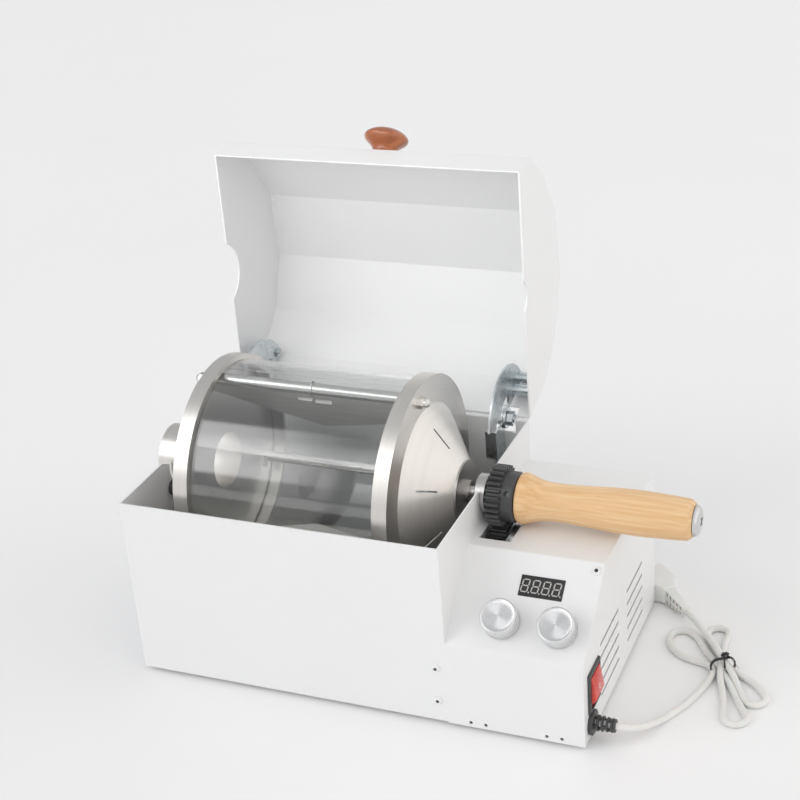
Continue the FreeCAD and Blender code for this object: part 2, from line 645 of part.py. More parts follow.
def stirring_vanes():
    """Three skewed triangular vanes along the sleeves, with folded tabs against the flanges."""
    x0, x1 = DRUM_LEFT + FLANGE_WALL, DRUM_RIGHT - FLANGE_WALL
    tip = (x0 + x1) / 2 + VANE_SKEW
    half = VANE_WALL / 2
    rim = ROD_CIRCLE
    outline = [(x0, rim), (x1, rim), (x1, rim - VANE_ENDS[1]), (tip + VANE_TIP, rim - VANE_HEIGHT),
               (tip - VANE_TIP, rim - VANE_HEIGHT), (x0, rim - VANE_ENDS[0])]
    points = [Vector(x, DRUM_Y - half, DRUM_Z + r) for x, r in outline]
    blade = Part.Face(Part.makePolygon(points + points[:1])).extrude(Vector(0, VANE_WALL, 0))
    seat = DRUM_Z + rim - SLEEVE_RADIUS
    lows = (DRUM_Z + rim - VANE_ENDS[0], seat - VANE_TAB)
    tabs = [block((x, DRUM_Y - half, low), (x + VANE_WALL, DRUM_Y + VANE_TAB, seat))
            for x, low in zip((x0, x1 - VANE_WALL), lows)]
    vane = fuse([blade] + tabs).cut(rod_x(SLEEVE_RADIUS, x0, x1, DRUM_Y, DRUM_Z + rim))
    vanes = []
    for i in range(ROD_COUNT):
        copy = vane.copy()
        copy.rotate(Vector(0, DRUM_Y, DRUM_Z), Vector(1, 0, 0), DRUM_TURN + i * 360 / ROD_COUNT)
        vanes.append(copy)
    return group(vanes)


def filler_tube():
    x0, x1 = -FILLER_REACH, DRUM_LEFT + FLANGE_WALL
    tube = rod_x(FILLER_RADIUS, x0, x1, DRUM_Y, DRUM_Z)
    return tube.cut(rod_x(FILLER_RADIUS - FILLER_WALL, x0, x1, DRUM_Y, DRUM_Z))


def drum_shaft():
    tip_x = SHAFT_NUT_X + SHAFT_NUT_LENGTH + SHAFT_TAIL
    return rod_x(SHAFT_RADIUS, HUB_X - HUB_BOSS_LENGTH, tip_x, DRUM_Y, DRUM_Z)


# ---- gears ----
def involute(angle):
    return math.tan(angle) - angle


def tooth_flank(teeth):
    """(radius, half tooth angle in degrees) of points up one flank, from the root to the tip."""
    pitch = GEAR_MODULE * teeth / 2
    base = pitch * math.cos(PRESSURE_ANGLE)
    root, tip = pitch - 1.25 * GEAR_MODULE, pitch + GEAR_MODULE
    at_base = (math.pi * GEAR_MODULE / 4 - TOOTH_BACKLASH / 2) / pitch + involute(PRESSURE_ANGLE)
    start = max(root, base)
    points = [(root, at_base)] if root < base else []
    for i in range(FLANK_POINTS):
        radius = start + (tip - start) * i / (FLANK_POINTS - 1)
        points.append((radius, at_base - involute(math.acos(base / radius))))
    return [(radius, math.degrees(half)) for radius, half in points]


def spur_gear(teeth, x0, x1, z, bore, phase):
    """Involute spur gear; phase turns the middle of its first tooth from +Z."""
    flank = tooth_flank(teeth)
    outline = []
    for i in range(teeth):
        middle = phase + 90 + i * 360 / teeth
        outline += [on_circle(radius, middle - half, DRUM_Y, z) for radius, half in flank]
        outline += [on_circle(radius, middle + half, DRUM_Y, z) for radius, half in flank[::-1]]
    return prism_x(outline, x0, x1).cut(rod_x(bore, x0, x1, DRUM_Y, z))


def drum_gear():
    gear = spur_gear(GEAR_TEETH, GEAR_X, COLLAR_X, DRUM_Z, SHAFT_RADIUS, 0.0)
    boss = rod_x(GEAR_BOSS_RADIUS, GEAR_BOSS_X, GEAR_X, DRUM_Y, DRUM_Z)
    return fuse([gear, boss.cut(rod_x(SHAFT_RADIUS, GEAR_BOSS_X, GEAR_X, DRUM_Y, DRUM_Z))])


def set_screw_line():
    """Middle of the collar's set screw hole on the shaft's axis, and the hole's direction."""
    tilt = math.radians(SET_SCREW_TILT)
    return Vector(COLLAR_X + COLLAR_WIDTH / 2, DRUM_Y, DRUM_Z), Vector(0, -math.cos(tilt), math.sin(tilt))


def gear_collar():
    x1 = COLLAR_X + COLLAR_WIDTH
    collar = rod_x(COLLAR_RADIUS, COLLAR_X, x1, DRUM_Y, DRUM_Z)
    rim = [e for e in collar.Edges if e.Closed and e.CenterOfMass.x > x1 - COLLAR_EDGE]
    collar = collar.makeChamfer(COLLAR_EDGE, rim)
    start, axis = set_screw_line()
    hole = Part.makeCylinder(SET_SCREW_RADIUS, 2 * COLLAR_RADIUS, start, axis)
    return cut(collar, [rod_x(SHAFT_RADIUS, COLLAR_X, x1, DRUM_Y, DRUM_Z), hole])


def set_screw():
    """Socket set screw, sunk in the collar with its point on the shaft."""
    start, axis = set_screw_line()
    screw = Part.makeCylinder(SET_SCREW_RADIUS, SET_SCREW_LENGTH, start + axis * SHAFT_RADIUS, axis)
    screw = screw.cut(rod_x(SHAFT_RADIUS, COLLAR_X, COLLAR_X + COLLAR_WIDTH, DRUM_Y, DRUM_Z))
    floor = start + axis * (SHAFT_RADIUS + SET_SCREW_LENGTH - SET_SCREW_SOCKET)
    return screw.cut(Part.makeCylinder(SET_SCREW_RADIUS / 2, SET_SCREW_SOCKET, floor, axis))


def drive_pinion():
    """Pinion with a tooth or a gap at its top, whichever the gear's lowest point needs."""
    phase = 0.0 if GEAR_TEETH % 2 else 180 / PINION_TEETH
    x0, x1 = GEAR_X - PINION_OVERLAP, COLLAR_X + PINION_OVERLAP
    return spur_gear(PINION_TEETH, x0, x1, PINION_Z, MOTOR_SHAFT_RADIUS, phase)


def motor_shaft():
    x0 = GEAR_X - PINION_OVERLAP
    x1 = BODY_LENGTH + BRACKET_X + BRACKET_WALL + MOTOR_BORE_DEPTH - END_PLAY
    return rod_x(MOTOR_SHAFT_RADIUS, x0, x1, DRUM_Y, PINION_Z)


# ---- bearing and handle ----
def shaft_bearing():
    ring = rod_x(BEARING_RADIUS, BEARING_X, BEARING_X + BEARING_WIDTH, DRUM_Y, DRUM_Z)
    rims = [e for e in ring.Edges if e.Closed]
    ring = ring.makeChamfer(BEARING_EDGE, rims)
    return ring.cut(rod_x(SHAFT_RADIUS + RUNNING, BEARING_X, BEARING_X + BEARING_WIDTH, DRUM_Y, DRUM_Z))


def level_arc(start, end):
    """Arc of an (x, radius) profile that runs parallel to the drum's axis where it starts."""
    (x0, r0), (x1, r1) = start, end
    middle = ((x0 + x1) / 2, r0 + (r1 - r0) / 4)
    return Part.Arc(*[Vector(HANDLE_X + x, DRUM_Y, DRUM_Z + r) for x, r in (start, middle, end)]).toShape()


def wooden_handle():
    """Turned beech handle: flare at the gears, narrow waist, swelling grip, chamfered end."""
    flare_x, waist_x, middle_x, swell_x = HANDLE_STATIONS
    flare, waist, swell = (flare_x, HANDLE_FLARE), (waist_x, HANDLE_WAIST), (swell_x, HANDLE_SWELL)
    middle = (middle_x, (HANDLE_WAIST + HANDLE_SWELL) / 2)
    end = (HANDLE_LENGTH - HANDLE_CHAMFER, HANDLE_END)
    arcs = [level_arc(flare, (0, HANDLE_FACE)), level_arc(waist, flare), level_arc(waist, middle),
            level_arc(swell, middle), level_arc(swell, end)]
    corners = [(end[0], end[1]), (HANDLE_LENGTH, HANDLE_END - HANDLE_CHAMFER), (HANDLE_LENGTH, 0), (0, 0),
               (0, HANDLE_FACE)]
    lines = Part.makePolygon([Vector(HANDLE_X + x, DRUM_Y, DRUM_Z + r) for x, r in corners])
    outline = Part.Wire(arcs + lines.Edges)
    solid = Part.Face(outline).revolve(Vector(HANDLE_X, DRUM_Y, DRUM_Z), Vector(1, 0, 0), 360)
    bush = rod_x(HANDLE_BUSH_RADIUS, HANDLE_X, HANDLE_X + HANDLE_BUSH_LENGTH, DRUM_Y, DRUM_Z)
    passage = rod_x(HANDLE_PASSAGE, HANDLE_X + HANDLE_BUSH_LENGTH, HANDLE_END_X, DRUM_Y, DRUM_Z)
    return cut(solid, [bush, passage])


def handle_bush():
    x1 = HANDLE_X + HANDLE_BUSH_LENGTH
    bush = rod_x(HANDLE_BUSH_RADIUS, HANDLE_X, x1, DRUM_Y, DRUM_Z)
    return bush.cut(rod_x(SHAFT_RADIUS + RUNNING, HANDLE_X, x1, DRUM_Y, DRUM_Z))


def shaft_nut():
    """Nut that keeps the handle on the shaft, inside the handle's end."""
    x1 = SHAFT_NUT_X + SHAFT_NUT_LENGTH
    nut = prism_x([on_circle(SHAFT_NUT_RADIUS, 60 * i) for i in range(6)], SHAFT_NUT_X, x1)
    return nut.cut(rod_x(SHAFT_RADIUS, SHAFT_NUT_X, x1, DRUM_Y, DRUM_Z))


def handle_end_cap():
    """Domed metal cap pressed into the handle's end."""
    spigot = rod_x(HANDLE_PASSAGE, HANDLE_END_X - HANDLE_CAP_SPIGOT, HANDLE_END_X, DRUM_Y, DRUM_Z)
    disc = rod_x(HANDLE_CAP_RADIUS, HANDLE_END_X, HANDLE_END_X + HANDLE_CAP_HEIGHT, DRUM_Y, DRUM_Z)
    outer = [e for e in disc.Edges if e.Closed and e.CenterOfMass.x > HANDLE_END_X + 1]
    return fuse([spigot, disc.makeChamfer(HANDLE_CAP_EDGE, outer)])


# ---- control box ----
def control_outline():
    """Outside of the cover from the foot of the front to the foot of the back."""
    return [(0, 0), (0, CONTROL_FOLD_Z), (CONTROL_SLOPE_Y, CONTROL_TOP_Z), (CONTROL_DEPTH, CONTROL_TOP_Z),
            (CONTROL_DEPTH, 0)]


def control_cover():
    """Front, slope, top and back in one folded sheet."""
    cover = folded_sheet(control_outline(), -SHEET, BODY_LENGTH, CONTROL_RIGHT - SHEET)
    slot = block((BODY_LENGTH + GEAR_SLOT_X[0], DRUM_Y - GEAR_SLOT_HALF, CONTROL_TOP_Z - 2 * SHEET),
                 (BODY_LENGTH + GEAR_SLOT_X[1], DRUM_Y + GEAR_SLOT_HALF, CONTROL_TOP_Z + 1))
    window = Part.makeBox(DISPLAY_WIDTH, DISPLAY_HEIGHT, 4 * SHEET,
                          Vector(-DISPLAY_WIDTH / 2, -DISPLAY_HEIGHT / 2, -3 * SHEET))
    tools = [slot, slope_shape(window, DISPLAY_X, DISPLAY_S)]
    for x in KNOB_X:
        tools.append(slope_shape(rod_z(POT_NECK_RADIUS, 0, 0, -3 * SHEET, SHEET), x, KNOB_S))
    tools.append(slope_shape(rod_z(SCREW_RADIUS, 0, 0, -3 * SHEET, SHEET), PANEL_SCREW_X, PANEL_SCREW_S))
    for x in DRAIN_X:
        tools.append(rod_y(DRAIN_RADIUS, BODY_LENGTH + x, -1, SHEET + 1, DRAIN_Z))
    return cut(cover, tools)


def control_base():
    """Bottom and right side in one folded sheet, with vent slots and the switch and cord holes."""
    inset = offset_left(control_outline(), -SHEET)
    side = folded_plate(control_outline(), CONTROL_RIGHT - SHEET, CONTROL_RIGHT)
    floor = block((BODY_LENGTH, SHEET, 0), (CONTROL_RIGHT - SHEET, CONTROL_DEPTH - SHEET, SHEET))
    tab_y = inset[2][0] + 2 * SHEET
    tab = block((CONTROL_RIGHT - SHEET - END_TAB, tab_y, CONTROL_TOP_Z - 2 * SHEET),
                (CONTROL_RIGHT - SHEET, CONTROL_DEPTH - 3 * SHEET, CONTROL_TOP_Z - SHEET))
    base = fuse([side, floor, tab])
    x0, x1 = CONTROL_RIGHT - 2 * SHEET, CONTROL_RIGHT + 1
    tools = []
    for y0, y1 in VENT_COLUMNS:
        for i in range(VENT_COUNT):
            z = VENT_TOP_Z - i * VENT_PITCH
            radius = VENT_HEIGHT / 2
            slot = [block((x0, y0 + radius, z - radius), (x1, y1 - radius, z + radius)),
                    rod_x(radius, x0, x1, y0 + radius, z), rod_x(radius, x0, x1, y1 - radius, z)]
            tools.append(fuse(slot))
    half_y, half_z = ROCKER_WIDTH / 2 - ROCKER_FRAME / 2, ROCKER_HEIGHT / 2 - ROCKER_FRAME / 2
    tools.append(block((x0, ROCKER_Y - half_y, ROCKER_Z - half_z),
                       (x1, ROCKER_Y + half_y, ROCKER_Z + half_z)))
    tools.append(rod_x(RELIEF_RADIUS, x0, x1, RELIEF_Y, RELIEF_Z))
    return cut(base, tools)


def display_module():
    body = Part.makeBox(DISPLAY_WIDTH, DISPLAY_HEIGHT, DISPLAY_DEPTH,
                        Vector(-DISPLAY_WIDTH / 2, -DISPLAY_HEIGHT / 2, DISPLAY_PROUD - DISPLAY_DEPTH))
    return slope_shape(body, DISPLAY_X, DISPLAY_S)


def display_board():
    """Circuit board that carries the display."""
    top = DISPLAY_PROUD - DISPLAY_DEPTH
    low, up = [DISPLAY_S + side * (DISPLAY_HEIGHT / 2 + BOARD_MARGIN) for side in (-1, 1)]
    x0, x1 = min(KNOB_X) - POT_RADIUS - BOARD_ENDS[0], max(KNOB_X) + POT_RADIUS + BOARD_ENDS[1]
    middle = (x0 + x1) / 2
    board = Part.makeBox(x1 - x0, up - low, BOARD_WALL, Vector(x0 - middle, low, top - BOARD_WALL))
    return slope_shape(board, middle, 0)


def potentiometer(x):
    """Body, threaded neck through the slope and nut."""
    can = rod_z(POT_RADIUS, 0, 0, -SHEET - POT_DEPTH, -SHEET)
    neck = rod_z(POT_NECK_RADIUS, 0, 0, -SHEET, KNOB_GAP)
    bore = rod_z(POT_SHAFT_RADIUS + RUNNING, 0, 0, -SHEET - POT_BORE_DEPTH, KNOB_GAP)
    return slope_shape(fuse([can, neck]).cut(bore), x, KNOB_S)


def pot_shaft(x):
    low = -SHEET - POT_BORE_DEPTH + END_PLAY
    return slope_shape(rod_z(POT_SHAFT_RADIUS, 0, 0, low, KNOB_GAP + POT_SHAFT_LENGTH), x, KNOB_S)


def control_knob(x):
    """Turned aluminium knob with a dished face and a pointer dot."""
    low = KNOB_GAP * 2
    body = rod_z(KNOB_RADIUS, 0, 0, low, KNOB_HEIGHT)
    body = body.makeChamfer(KNOB_EDGE, [e for e in body.Edges if e.Closed and e.CenterOfMass.z > low + 1])
    dish = rod_z(KNOB_RADIUS - KNOB_RIM, 0, 0, KNOB_HEIGHT - KNOB_DISH, KNOB_HEIGHT)
    dot = rod_z(KNOB_DOT, -KNOB_RADIUS * 0.5, KNOB_RADIUS * 0.5, KNOB_HEIGHT - 3 * KNOB_DISH, KNOB_HEIGHT)
    bore = rod_z(POT_SHAFT_RADIUS, 0, 0, low, KNOB_GAP + POT_SHAFT_LENGTH)
    return slope_shape(cut(body, [dish, dot, bore]), x, KNOB_S)


def rocker_housing():
    """Switch body: a frame outside the panel and a box behind it, open for the button."""
    outer = CONTROL_RIGHT + ROCKER_PROUD
    half_y, half_z = ROCKER_WIDTH / 2, ROCKER_HEIGHT / 2
    frame = block((CONTROL_RIGHT, ROCKER_Y - half_y, ROCKER_Z - half_z),
                  (outer, ROCKER_Y + half_y, ROCKER_Z + half_z))
    frame = frame.makeFillet(ROCKER_EDGE, [e for e in frame.Edges if e.CenterOfMass.x > outer - 0.01])
    back_y, back_z = half_y - ROCKER_FRAME / 2, half_z - ROCKER_FRAME / 2
    back = block((CONTROL_RIGHT - ROCKER_DEPTH, ROCKER_Y - back_y, ROCKER_Z - back_z),
                 (CONTROL_RIGHT, ROCKER_Y + back_y, ROCKER_Z + back_z))
    well_y, well_z = half_y - ROCKER_FRAME, half_z - ROCKER_FRAME
    well = block((CONTROL_RIGHT - ROCKER_DEPTH + 2 * ROCKER_WALL, ROCKER_Y - well_y, ROCKER_Z - well_z),
                 (outer + 1, ROCKER_Y + well_y, ROCKER_Z + well_z))
    reach = well_y + ROCKER_PIN_LENGTH
    pivot_x = CONTROL_RIGHT - ROCKER_WALL
    pivot = rod_y(ROCKER_PIN_RADIUS, pivot_x, ROCKER_Y - reach, ROCKER_Y + reach, ROCKER_Z)
    return cut(fuse([frame, back]), [well, pivot])


def rocker_button():
    """Two-way button with a shallow V face, tilted with its lower end pressed in."""
    x, z = CONTROL_RIGHT - ROCKER_WALL, ROCKER_Z
    half = ROCKER_HEIGHT / 2 - ROCKER_FRAME - ROCKER_GAP
    width = ROCKER_WIDTH / 2 - ROCKER_FRAME - ROCKER_GAP / 2
    lip, root = ROCKER_WALL + ROCKER_PROUD / 4, -ROCKER_ROOT
    outline = [(root, -half * 0.7), (root, half * 0.7), (lip, half), (ROCKER_WALL + ROCKER_RIDGE, 0),
               (lip, -half)]
    points = [Vector(x + u, ROCKER_Y - width, z + w) for u, w in outline]
    body = Part.Face(Part.makePolygon(points + points[:1])).extrude(Vector(0, 2 * width, 0))
    reach = ROCKER_WIDTH / 2 - ROCKER_FRAME + ROCKER_PIN_LENGTH - ROCKER_GAP / 2
    pin = rod_y(ROCKER_PIN_RADIUS - RUNNING, x, ROCKER_Y - reach, ROCKER_Y + reach, z)
    button = fuse([body, pin])
    button.rotate(Vector(x, ROCKER_Y, z), Vector(0, 1, 0), ROCKER_TILT)
    return button


# ---- gear motor ----
def gear_motor():
    x0 = BODY_LENGTH + BRACKET_X + BRACKET_WALL
    z = PINION_Z - GEARBOX_OFFSET
    gearbox = rod_x(GEARBOX_RADIUS, x0, x0 + GEARBOX_LENGTH, DRUM_Y, z)
    can = rod_x(MOTOR_RADIUS, x0 + GEARBOX_LENGTH, x0 + GEARBOX_LENGTH + MOTOR_LENGTH, DRUM_Y, z)
    boss = rod_x(GEARBOX_BOSS_RADIUS, x0 - BRACKET_WALL, x0, DRUM_Y, PINION_Z)
    bore = rod_x(MOTOR_SHAFT_RADIUS + RUNNING, x0 - BRACKET_WALL, x0 + MOTOR_BORE_DEPTH, DRUM_Y, PINION_Z)
    return fuse([gearbox, can, boss]).cut(bore)


def motor_bracket():
    """Upright plate behind the pinion, with a foot on the control box's floor."""
    x0 = BODY_LENGTH + BRACKET_X
    y0, y1 = DRUM_Y - BRACKET_HALF_WIDTH, DRUM_Y + BRACKET_HALF_WIDTH
    top = CONTROL_TOP_Z - SHEET - BRACKET_HEADROOM
    upright = block((x0, y0, SHEET), (x0 + BRACKET_WALL, y1, top))
    foot = block((x0, y0, SHEET), (x0 + BRACKET_FOOT, y1, SHEET + BRACKET_WALL))
    bore = rod_x(GEARBOX_BOSS_RADIUS, x0, x0 + BRACKET_WALL, DRUM_Y, PINION_Z)
    return cut(fuse([upright, foot]), [bore] + [rod_x(SCREW_RADIUS, x0, x0 + BRACKET_WALL, y, z)
                                                for y, z in motor_screw_places()])


def motor_screw_places():
    z = PINION_Z - GEARBOX_OFFSET
    return [on_circle(GEARBOX_RADIUS - MOTOR_SCREW_INSET, angle, DRUM_Y, z) for angle in MOTOR_SCREW_ANGLES]


def control_board():
    """Power board on four posts, with its tall components."""
    x1, y1 = CONTROL_RIGHT - SHEET - POWER_BOARD_GAP, CONTROL_DEPTH - SHEET - POWER_BOARD_GAP
    x0, y0 = x1 - POWER_BOARD, y1 - POWER_BOARD
    low = SHEET + POST_HEIGHT
    top = low + BOARD_WALL
    solids = [block((x0, y0, low), (x1, y1, top))]
    for x in (x0 + POST_INSET, x1 - POST_INSET):
        solids += [rod_z(POST_RADIUS, x, y, SHEET, low) for y in (y0 + POST_INSET, y1 - POST_INSET)]
    for x, y, length, depth, height in TALL_BLOCKS:
        solids.append(block((x0 + x, y0 + y, top), (x0 + x + length, y0 + y + depth, top + height)))
    x, y, radius, height = CAPACITOR
    solids.append(rod_z(radius, x0 + x, y0 + y, top, top + height))
    return fuse(solids)


# ---- lid: modelled shut, then turned open ----
def lid_outline():
    """Outside of the shut lid from its front edge to its back edge."""
    front = [(y, LID_RIM_Z + h) for y, h in LID_FRONT_FOLDS]
    return front + [(BODY_DEPTH - y, LID_RIM_Z + h) for y, h in LID_BACK_FOLDS]


def opened(shape):
    copy = shape.copy()
    copy.rotate(Vector(0, PIVOT_Y, PIVOT_Z), Vector(1, 0, 0), -LID_OPEN)
    return copy


def lid_shell():
    shell = folded_sheet(lid_outline(), -SHEET, SHEET, BODY_LENGTH - SHEET)
    notch = EAR_RADIUS + PIVOT_NOTCH_GAP
    tools = pivot_notches(BODY_DEPTH - 2 * notch, PIVOT_Z - notch, BODY_DEPTH + notch, PIVOT_Z + notch)
    tools.append(knob_placed(rod_z(SCREW_RADIUS, 0, 0, -3 * SHEET, SHEET)))
    return opened(cut(shell, tools))


def lid_end(x0, notch_radius):
    plate = folded_plate(lid_outline(), x0, x0 + SHEET)
    return opened(plate.cut(rod_x(notch_radius, x0, x0 + SHEET, DRUM_Y, DRUM_Z)))


def stay_plate():
    """Quadrant plate: wide at the lid, a curved tail into the box, an ear round the pivot."""
    x0, x1 = STAY_INSET, STAY_INSET + STAY_WALL
    disc = rod_x(STAY_RADIUS, x0, x1, PIVOT_Y, PIVOT_Z)
    inside = offset_left(lid_outline(), -SHEET - STAY_CLEARANCE)
    back = BODY_DEPTH - SHEET - STAY_CLEARANCE - FOLD_RADIUS
    tail_z = PIVOT_Z - STAY_RADIUS * math.sin(math.radians(STAY_TAIL))
    (upper_y, upper_z), (lower_y, lower_z) = inside[-2], inside[-1]
    reach = PIVOT_Y - 2 * STAY_RADIUS
    bound = prism_x([(reach, tail_z), (back, tail_z), (min(back, lower_y), LID_RIM_Z + STAY_CLEARANCE),
                     (upper_y, upper_z), (reach, upper_z)], x0, x1)
    hollow = rod_x(STAY_INNER, x0, x1, PIVOT_Y, PIVOT_Z)
    hollow = hollow.common(block((x0, reach, tail_z - 1), (x1, back + STAY_RADIUS, PIVOT_Z + EAR_RADIUS / 2)))
    ear = rod_x(EAR_RADIUS, x0, x1, PIVOT_Y, PIVOT_Z)
    plate = fuse([disc.common(bound).cut(hollow), ear])
    holes = [rod_x(STAY_BOLT_RADIUS, x0, x1, PIVOT_Y + y, PIVOT_Z + z) for y, z in STAY_BOLTS]
    holes.append(rod_x(PIVOT_BOLT_RADIUS + RUNNING, x0, x1, PIVOT_Y, PIVOT_Z))
    return cut(plate, holes)


def lid_stays():
    return group([opened(side) for side in both_ends(stay_plate())])


def stay_bolts():
    """Studs and spacers on the lid's ends, with the nuts that hold the stays."""
    bolts = []
    for y, z in STAY_BOLTS:
        place = (PIVOT_Y + y, PIVOT_Z + z)
        shank = rod_x(STAY_BOLT_RADIUS, SHEET, STAY_INSET + 2 * STAY_WALL + BOLT_TAIL, *place)
        spacer = rod_x(STAY_SPACER_RADIUS, SHEET, STAY_INSET, *place)
        nut = prism_x([on_circle(STAY_SPACER_RADIUS, 60 * i, *place) for i in range(6)],
                      STAY_INSET + STAY_WALL, STAY_INSET + 2 * STAY_WALL)
        bolts += both_ends(fuse([shank, spacer, nut]))
    return group([opened(bolt) for bolt in bolts])


def hinge_brackets():
    """Brackets on the back panel's inner face, each with an ear that carries a lid pivot."""
    x0 = STAY_INSET + STAY_WALL + STAY_GAP
    x1 = x0 + STAY_WALL
    back = BODY_DEPTH - SHEET
    low = PIVOT_Z - HINGE_BRACKET_DROP
    web = block((x0, back - HINGE_BRACKET_DEPTH, low), (x1, back, BODY_HEIGHT - SHEET - FOLD_RADIUS))
    flange_top = PIVOT_Z - EAR_RADIUS - 2 * PIVOT_NOTCH_GAP
    flange = block((x1, back - STAY_WALL, low), (x1 + HINGE_BRACKET_FLANGE, back, flange_top))
    ear = rod_x(EAR_RADIUS, x0, x1, PIVOT_Y, PIVOT_Z)
    bracket = fuse([web, flange, ear]).cut(rod_x(PIVOT_BOLT_RADIUS, x0, x1, PIVOT_Y, PIVOT_Z))
    return group(both_ends(bracket))


def pivot_bolts():
    """Bolts through the brackets and the stays, with their nuts."""
    head_x, nut_x = STAY_INSET + 2 * STAY_WALL + STAY_GAP, STAY_INSET - STAY_GAP
    shank = rod_x(PIVOT_BOLT_RADIUS, nut_x - PIVOT_NUT_WIDTH - BOLT_TAIL, head_x, PIVOT_Y, PIVOT_Z)
    head, nut = [prism_x([on_circle(PIVOT_HEAD_RADIUS, 60 * i, PIVOT_Y, PIVOT_Z) for i in range(6)], *span)
                 for span in ((head_x, head_x + PIVOT_HEAD_WIDTH), (nut_x - PIVOT_NUT_WIDTH, nut_x))]
    bolt = fuse([shank, head])
    return group(both_ends(bolt) + both_ends(nut.cut(shank)))


def knob_placed(shape):
    """Move a shape modelled at the origin, facing up, onto the lid's front slope."""
    (y0, h0), (y1, h1) = LID_FRONT_FOLDS[1:3]
    copy = shape.copy()
    copy.rotate(Vector(0, 0, 0), Vector(1, 0, 0), math.degrees(math.atan2(h1 - h0, y1 - y0)))
    place = LID_KNOB_PLACE
    copy.translate(Vector(BODY_LENGTH / 2, y0 + place * (y1 - y0), LID_RIM_Z + h0 + place * (h1 - h0)))
    return copy


def lid_knob():
    """Turned mushroom knob: a narrow neck, a rounded brim and a spherical crown."""
    r, h, neck = LID_KNOB_RADIUS, LID_KNOB_HEIGHT, LID_KNOB_NECK
    base_r, crown_r, crown_z = neck * 1.2, r * 0.8, h - LID_KNOB_CROWN
    crown = (crown_r ** 2 + LID_KNOB_CROWN ** 2) / (2 * LID_KNOB_CROWN)
    half_turn = math.asin(crown_r / crown) / 2
    crown_middle = (crown * math.sin(half_turn), h - crown * (1 - math.cos(half_turn)))
    arcs = [((base_r, 0), (neck * 0.85, h * 0.2), (neck * 1.1, h * 0.38)),
            ((neck * 1.1, h * 0.38), (r * 0.87, h * 0.44), (r, h * 0.6)),
            ((r, h * 0.6), (r * 0.95, h * 0.74), (crown_r, crown_z)),
            ((crown_r, crown_z), crown_middle, (0, h))]
    sides = [Part.Arc(*[Vector(x, 0, z) for x, z in arc]).toShape() for arc in arcs]
    bore = (SCREW_RADIUS, h * LID_KNOB_BORE)
    inside = [Vector(0, 0, h), Vector(0, 0, bore[1]), Vector(bore[0], 0, bore[1]), Vector(bore[0], 0, 0),
              Vector(base_r, 0, 0)]
    outline = Part.Wire(sides + Part.makePolygon(inside).Edges)
    return opened(knob_placed(Part.Face(outline).revolve(Vector(0, 0, 0), Vector(0, 0, 1), 360)))


def knob_screw():
    seat = Vector(0, 0, -SHEET)
    length = SHEET + LID_KNOB_HEIGHT * LID_KNOB_BORE
    return opened(knob_placed(pan_screw(seat, Vector(0, 0, 1), length)))


# ---- mains cord ----
def strain_relief():
    """Ribbed black gland with a collar against the side panel."""
    x0 = CONTROL_RIGHT
    profile = [(x0 - RELIEF_ROOT, CORD_RADIUS), (x0 - RELIEF_ROOT, RELIEF_RADIUS), (x0, RELIEF_RADIUS),
               (x0, RELIEF_COLLAR_RADIUS), (x0 + RELIEF_COLLAR, RELIEF_COLLAR_RADIUS)]
    x = x0 + RELIEF_COLLAR
    step = RELIEF_LENGTH / (2 * RELIEF_RIBS)
    for i in range(RELIEF_RIBS):
        rib = RELIEF_RADIUS - RELIEF_TAPER * i / RELIEF_RIBS
        profile += [(x, RELIEF_GROOVE), (x + step, RELIEF_GROOVE), (x + step, rib), (x + 2 * step, rib)]
        x += 2 * step
    profile.append((x, CORD_RADIUS))
    return turned(profile, RELIEF_Y, RELIEF_Z)


def cord_points():
    return [RELIEF_TIP + Vector(*point) for point in CORD_ROUTE]


def power_cord():
    """Round cord: straight runs joined by arcs as large as the runs allow."""
    points = cord_points()
    edges, start = [], points[0]
    for before, corner, after in zip(points, points[1:], points[2:]):
        into, out = (corner - before).normalize(), (after - corner).normalize()
        half_turn = into.getAngle(out) / 2
        trim = 0.45 * min((corner - before).Length, (after - corner).Length)
        radius = trim / math.tan(half_turn)
        first, last = corner - into * trim, corner + out * trim
        inward = (out - into).normalize()
        middle = corner + inward * (radius / math.cos(half_turn) - radius)
        edges += [Part.LineSegment(start, first).toShape(), Part.Arc(first, middle, last).toShape()]
        start = last
        print("cord radius %.1f" % radius)
    edges.append(Part.LineSegment(start, points[-1]).toShape())
    path = Part.Wire(edges)
    section = Part.Wire(Part.makeCircle(CORD_RADIUS, points[0], points[1] - points[0]))
    cord = path.makePipeShell([section], True, False)
    print("cord tube length %.1f, volume over section %.1f" % (path.Length,
          cord.Volume / (math.pi * CORD_RADIUS ** 2)))
    return cord


def plan_point(place):
    """Point on the surface that the roaster stands on, from a place measured from the relief's tip."""
    return Vector(RELIEF_TIP.x + place[0], RELIEF_TIP.y + place[1], -FOOT_HEIGHT)


def plan_bar(start, end, half_width, height, round_ends):
    """Upright bar lying on the surface between two plan points."""
    a, b = plan_point(start), plan_point(end)
    along = b - a
    bar = Part.makeBox(along.Length, 2 * half_width, height, Vector(0, -half_width, CORD_CLEAR))
    solids = [bar]
    if round_ends:
        solids += [rod_z(half_width, x, 0, CORD_CLEAR, CORD_CLEAR + height) for x in (0, along.Length)]
    solid = fuse(solids)
    solid.rotate(Vector(0, 0, 0), Vector(0, 0, 1), math.degrees(math.atan2(along.y, along.x)))
    solid.translate(a)
    return solid


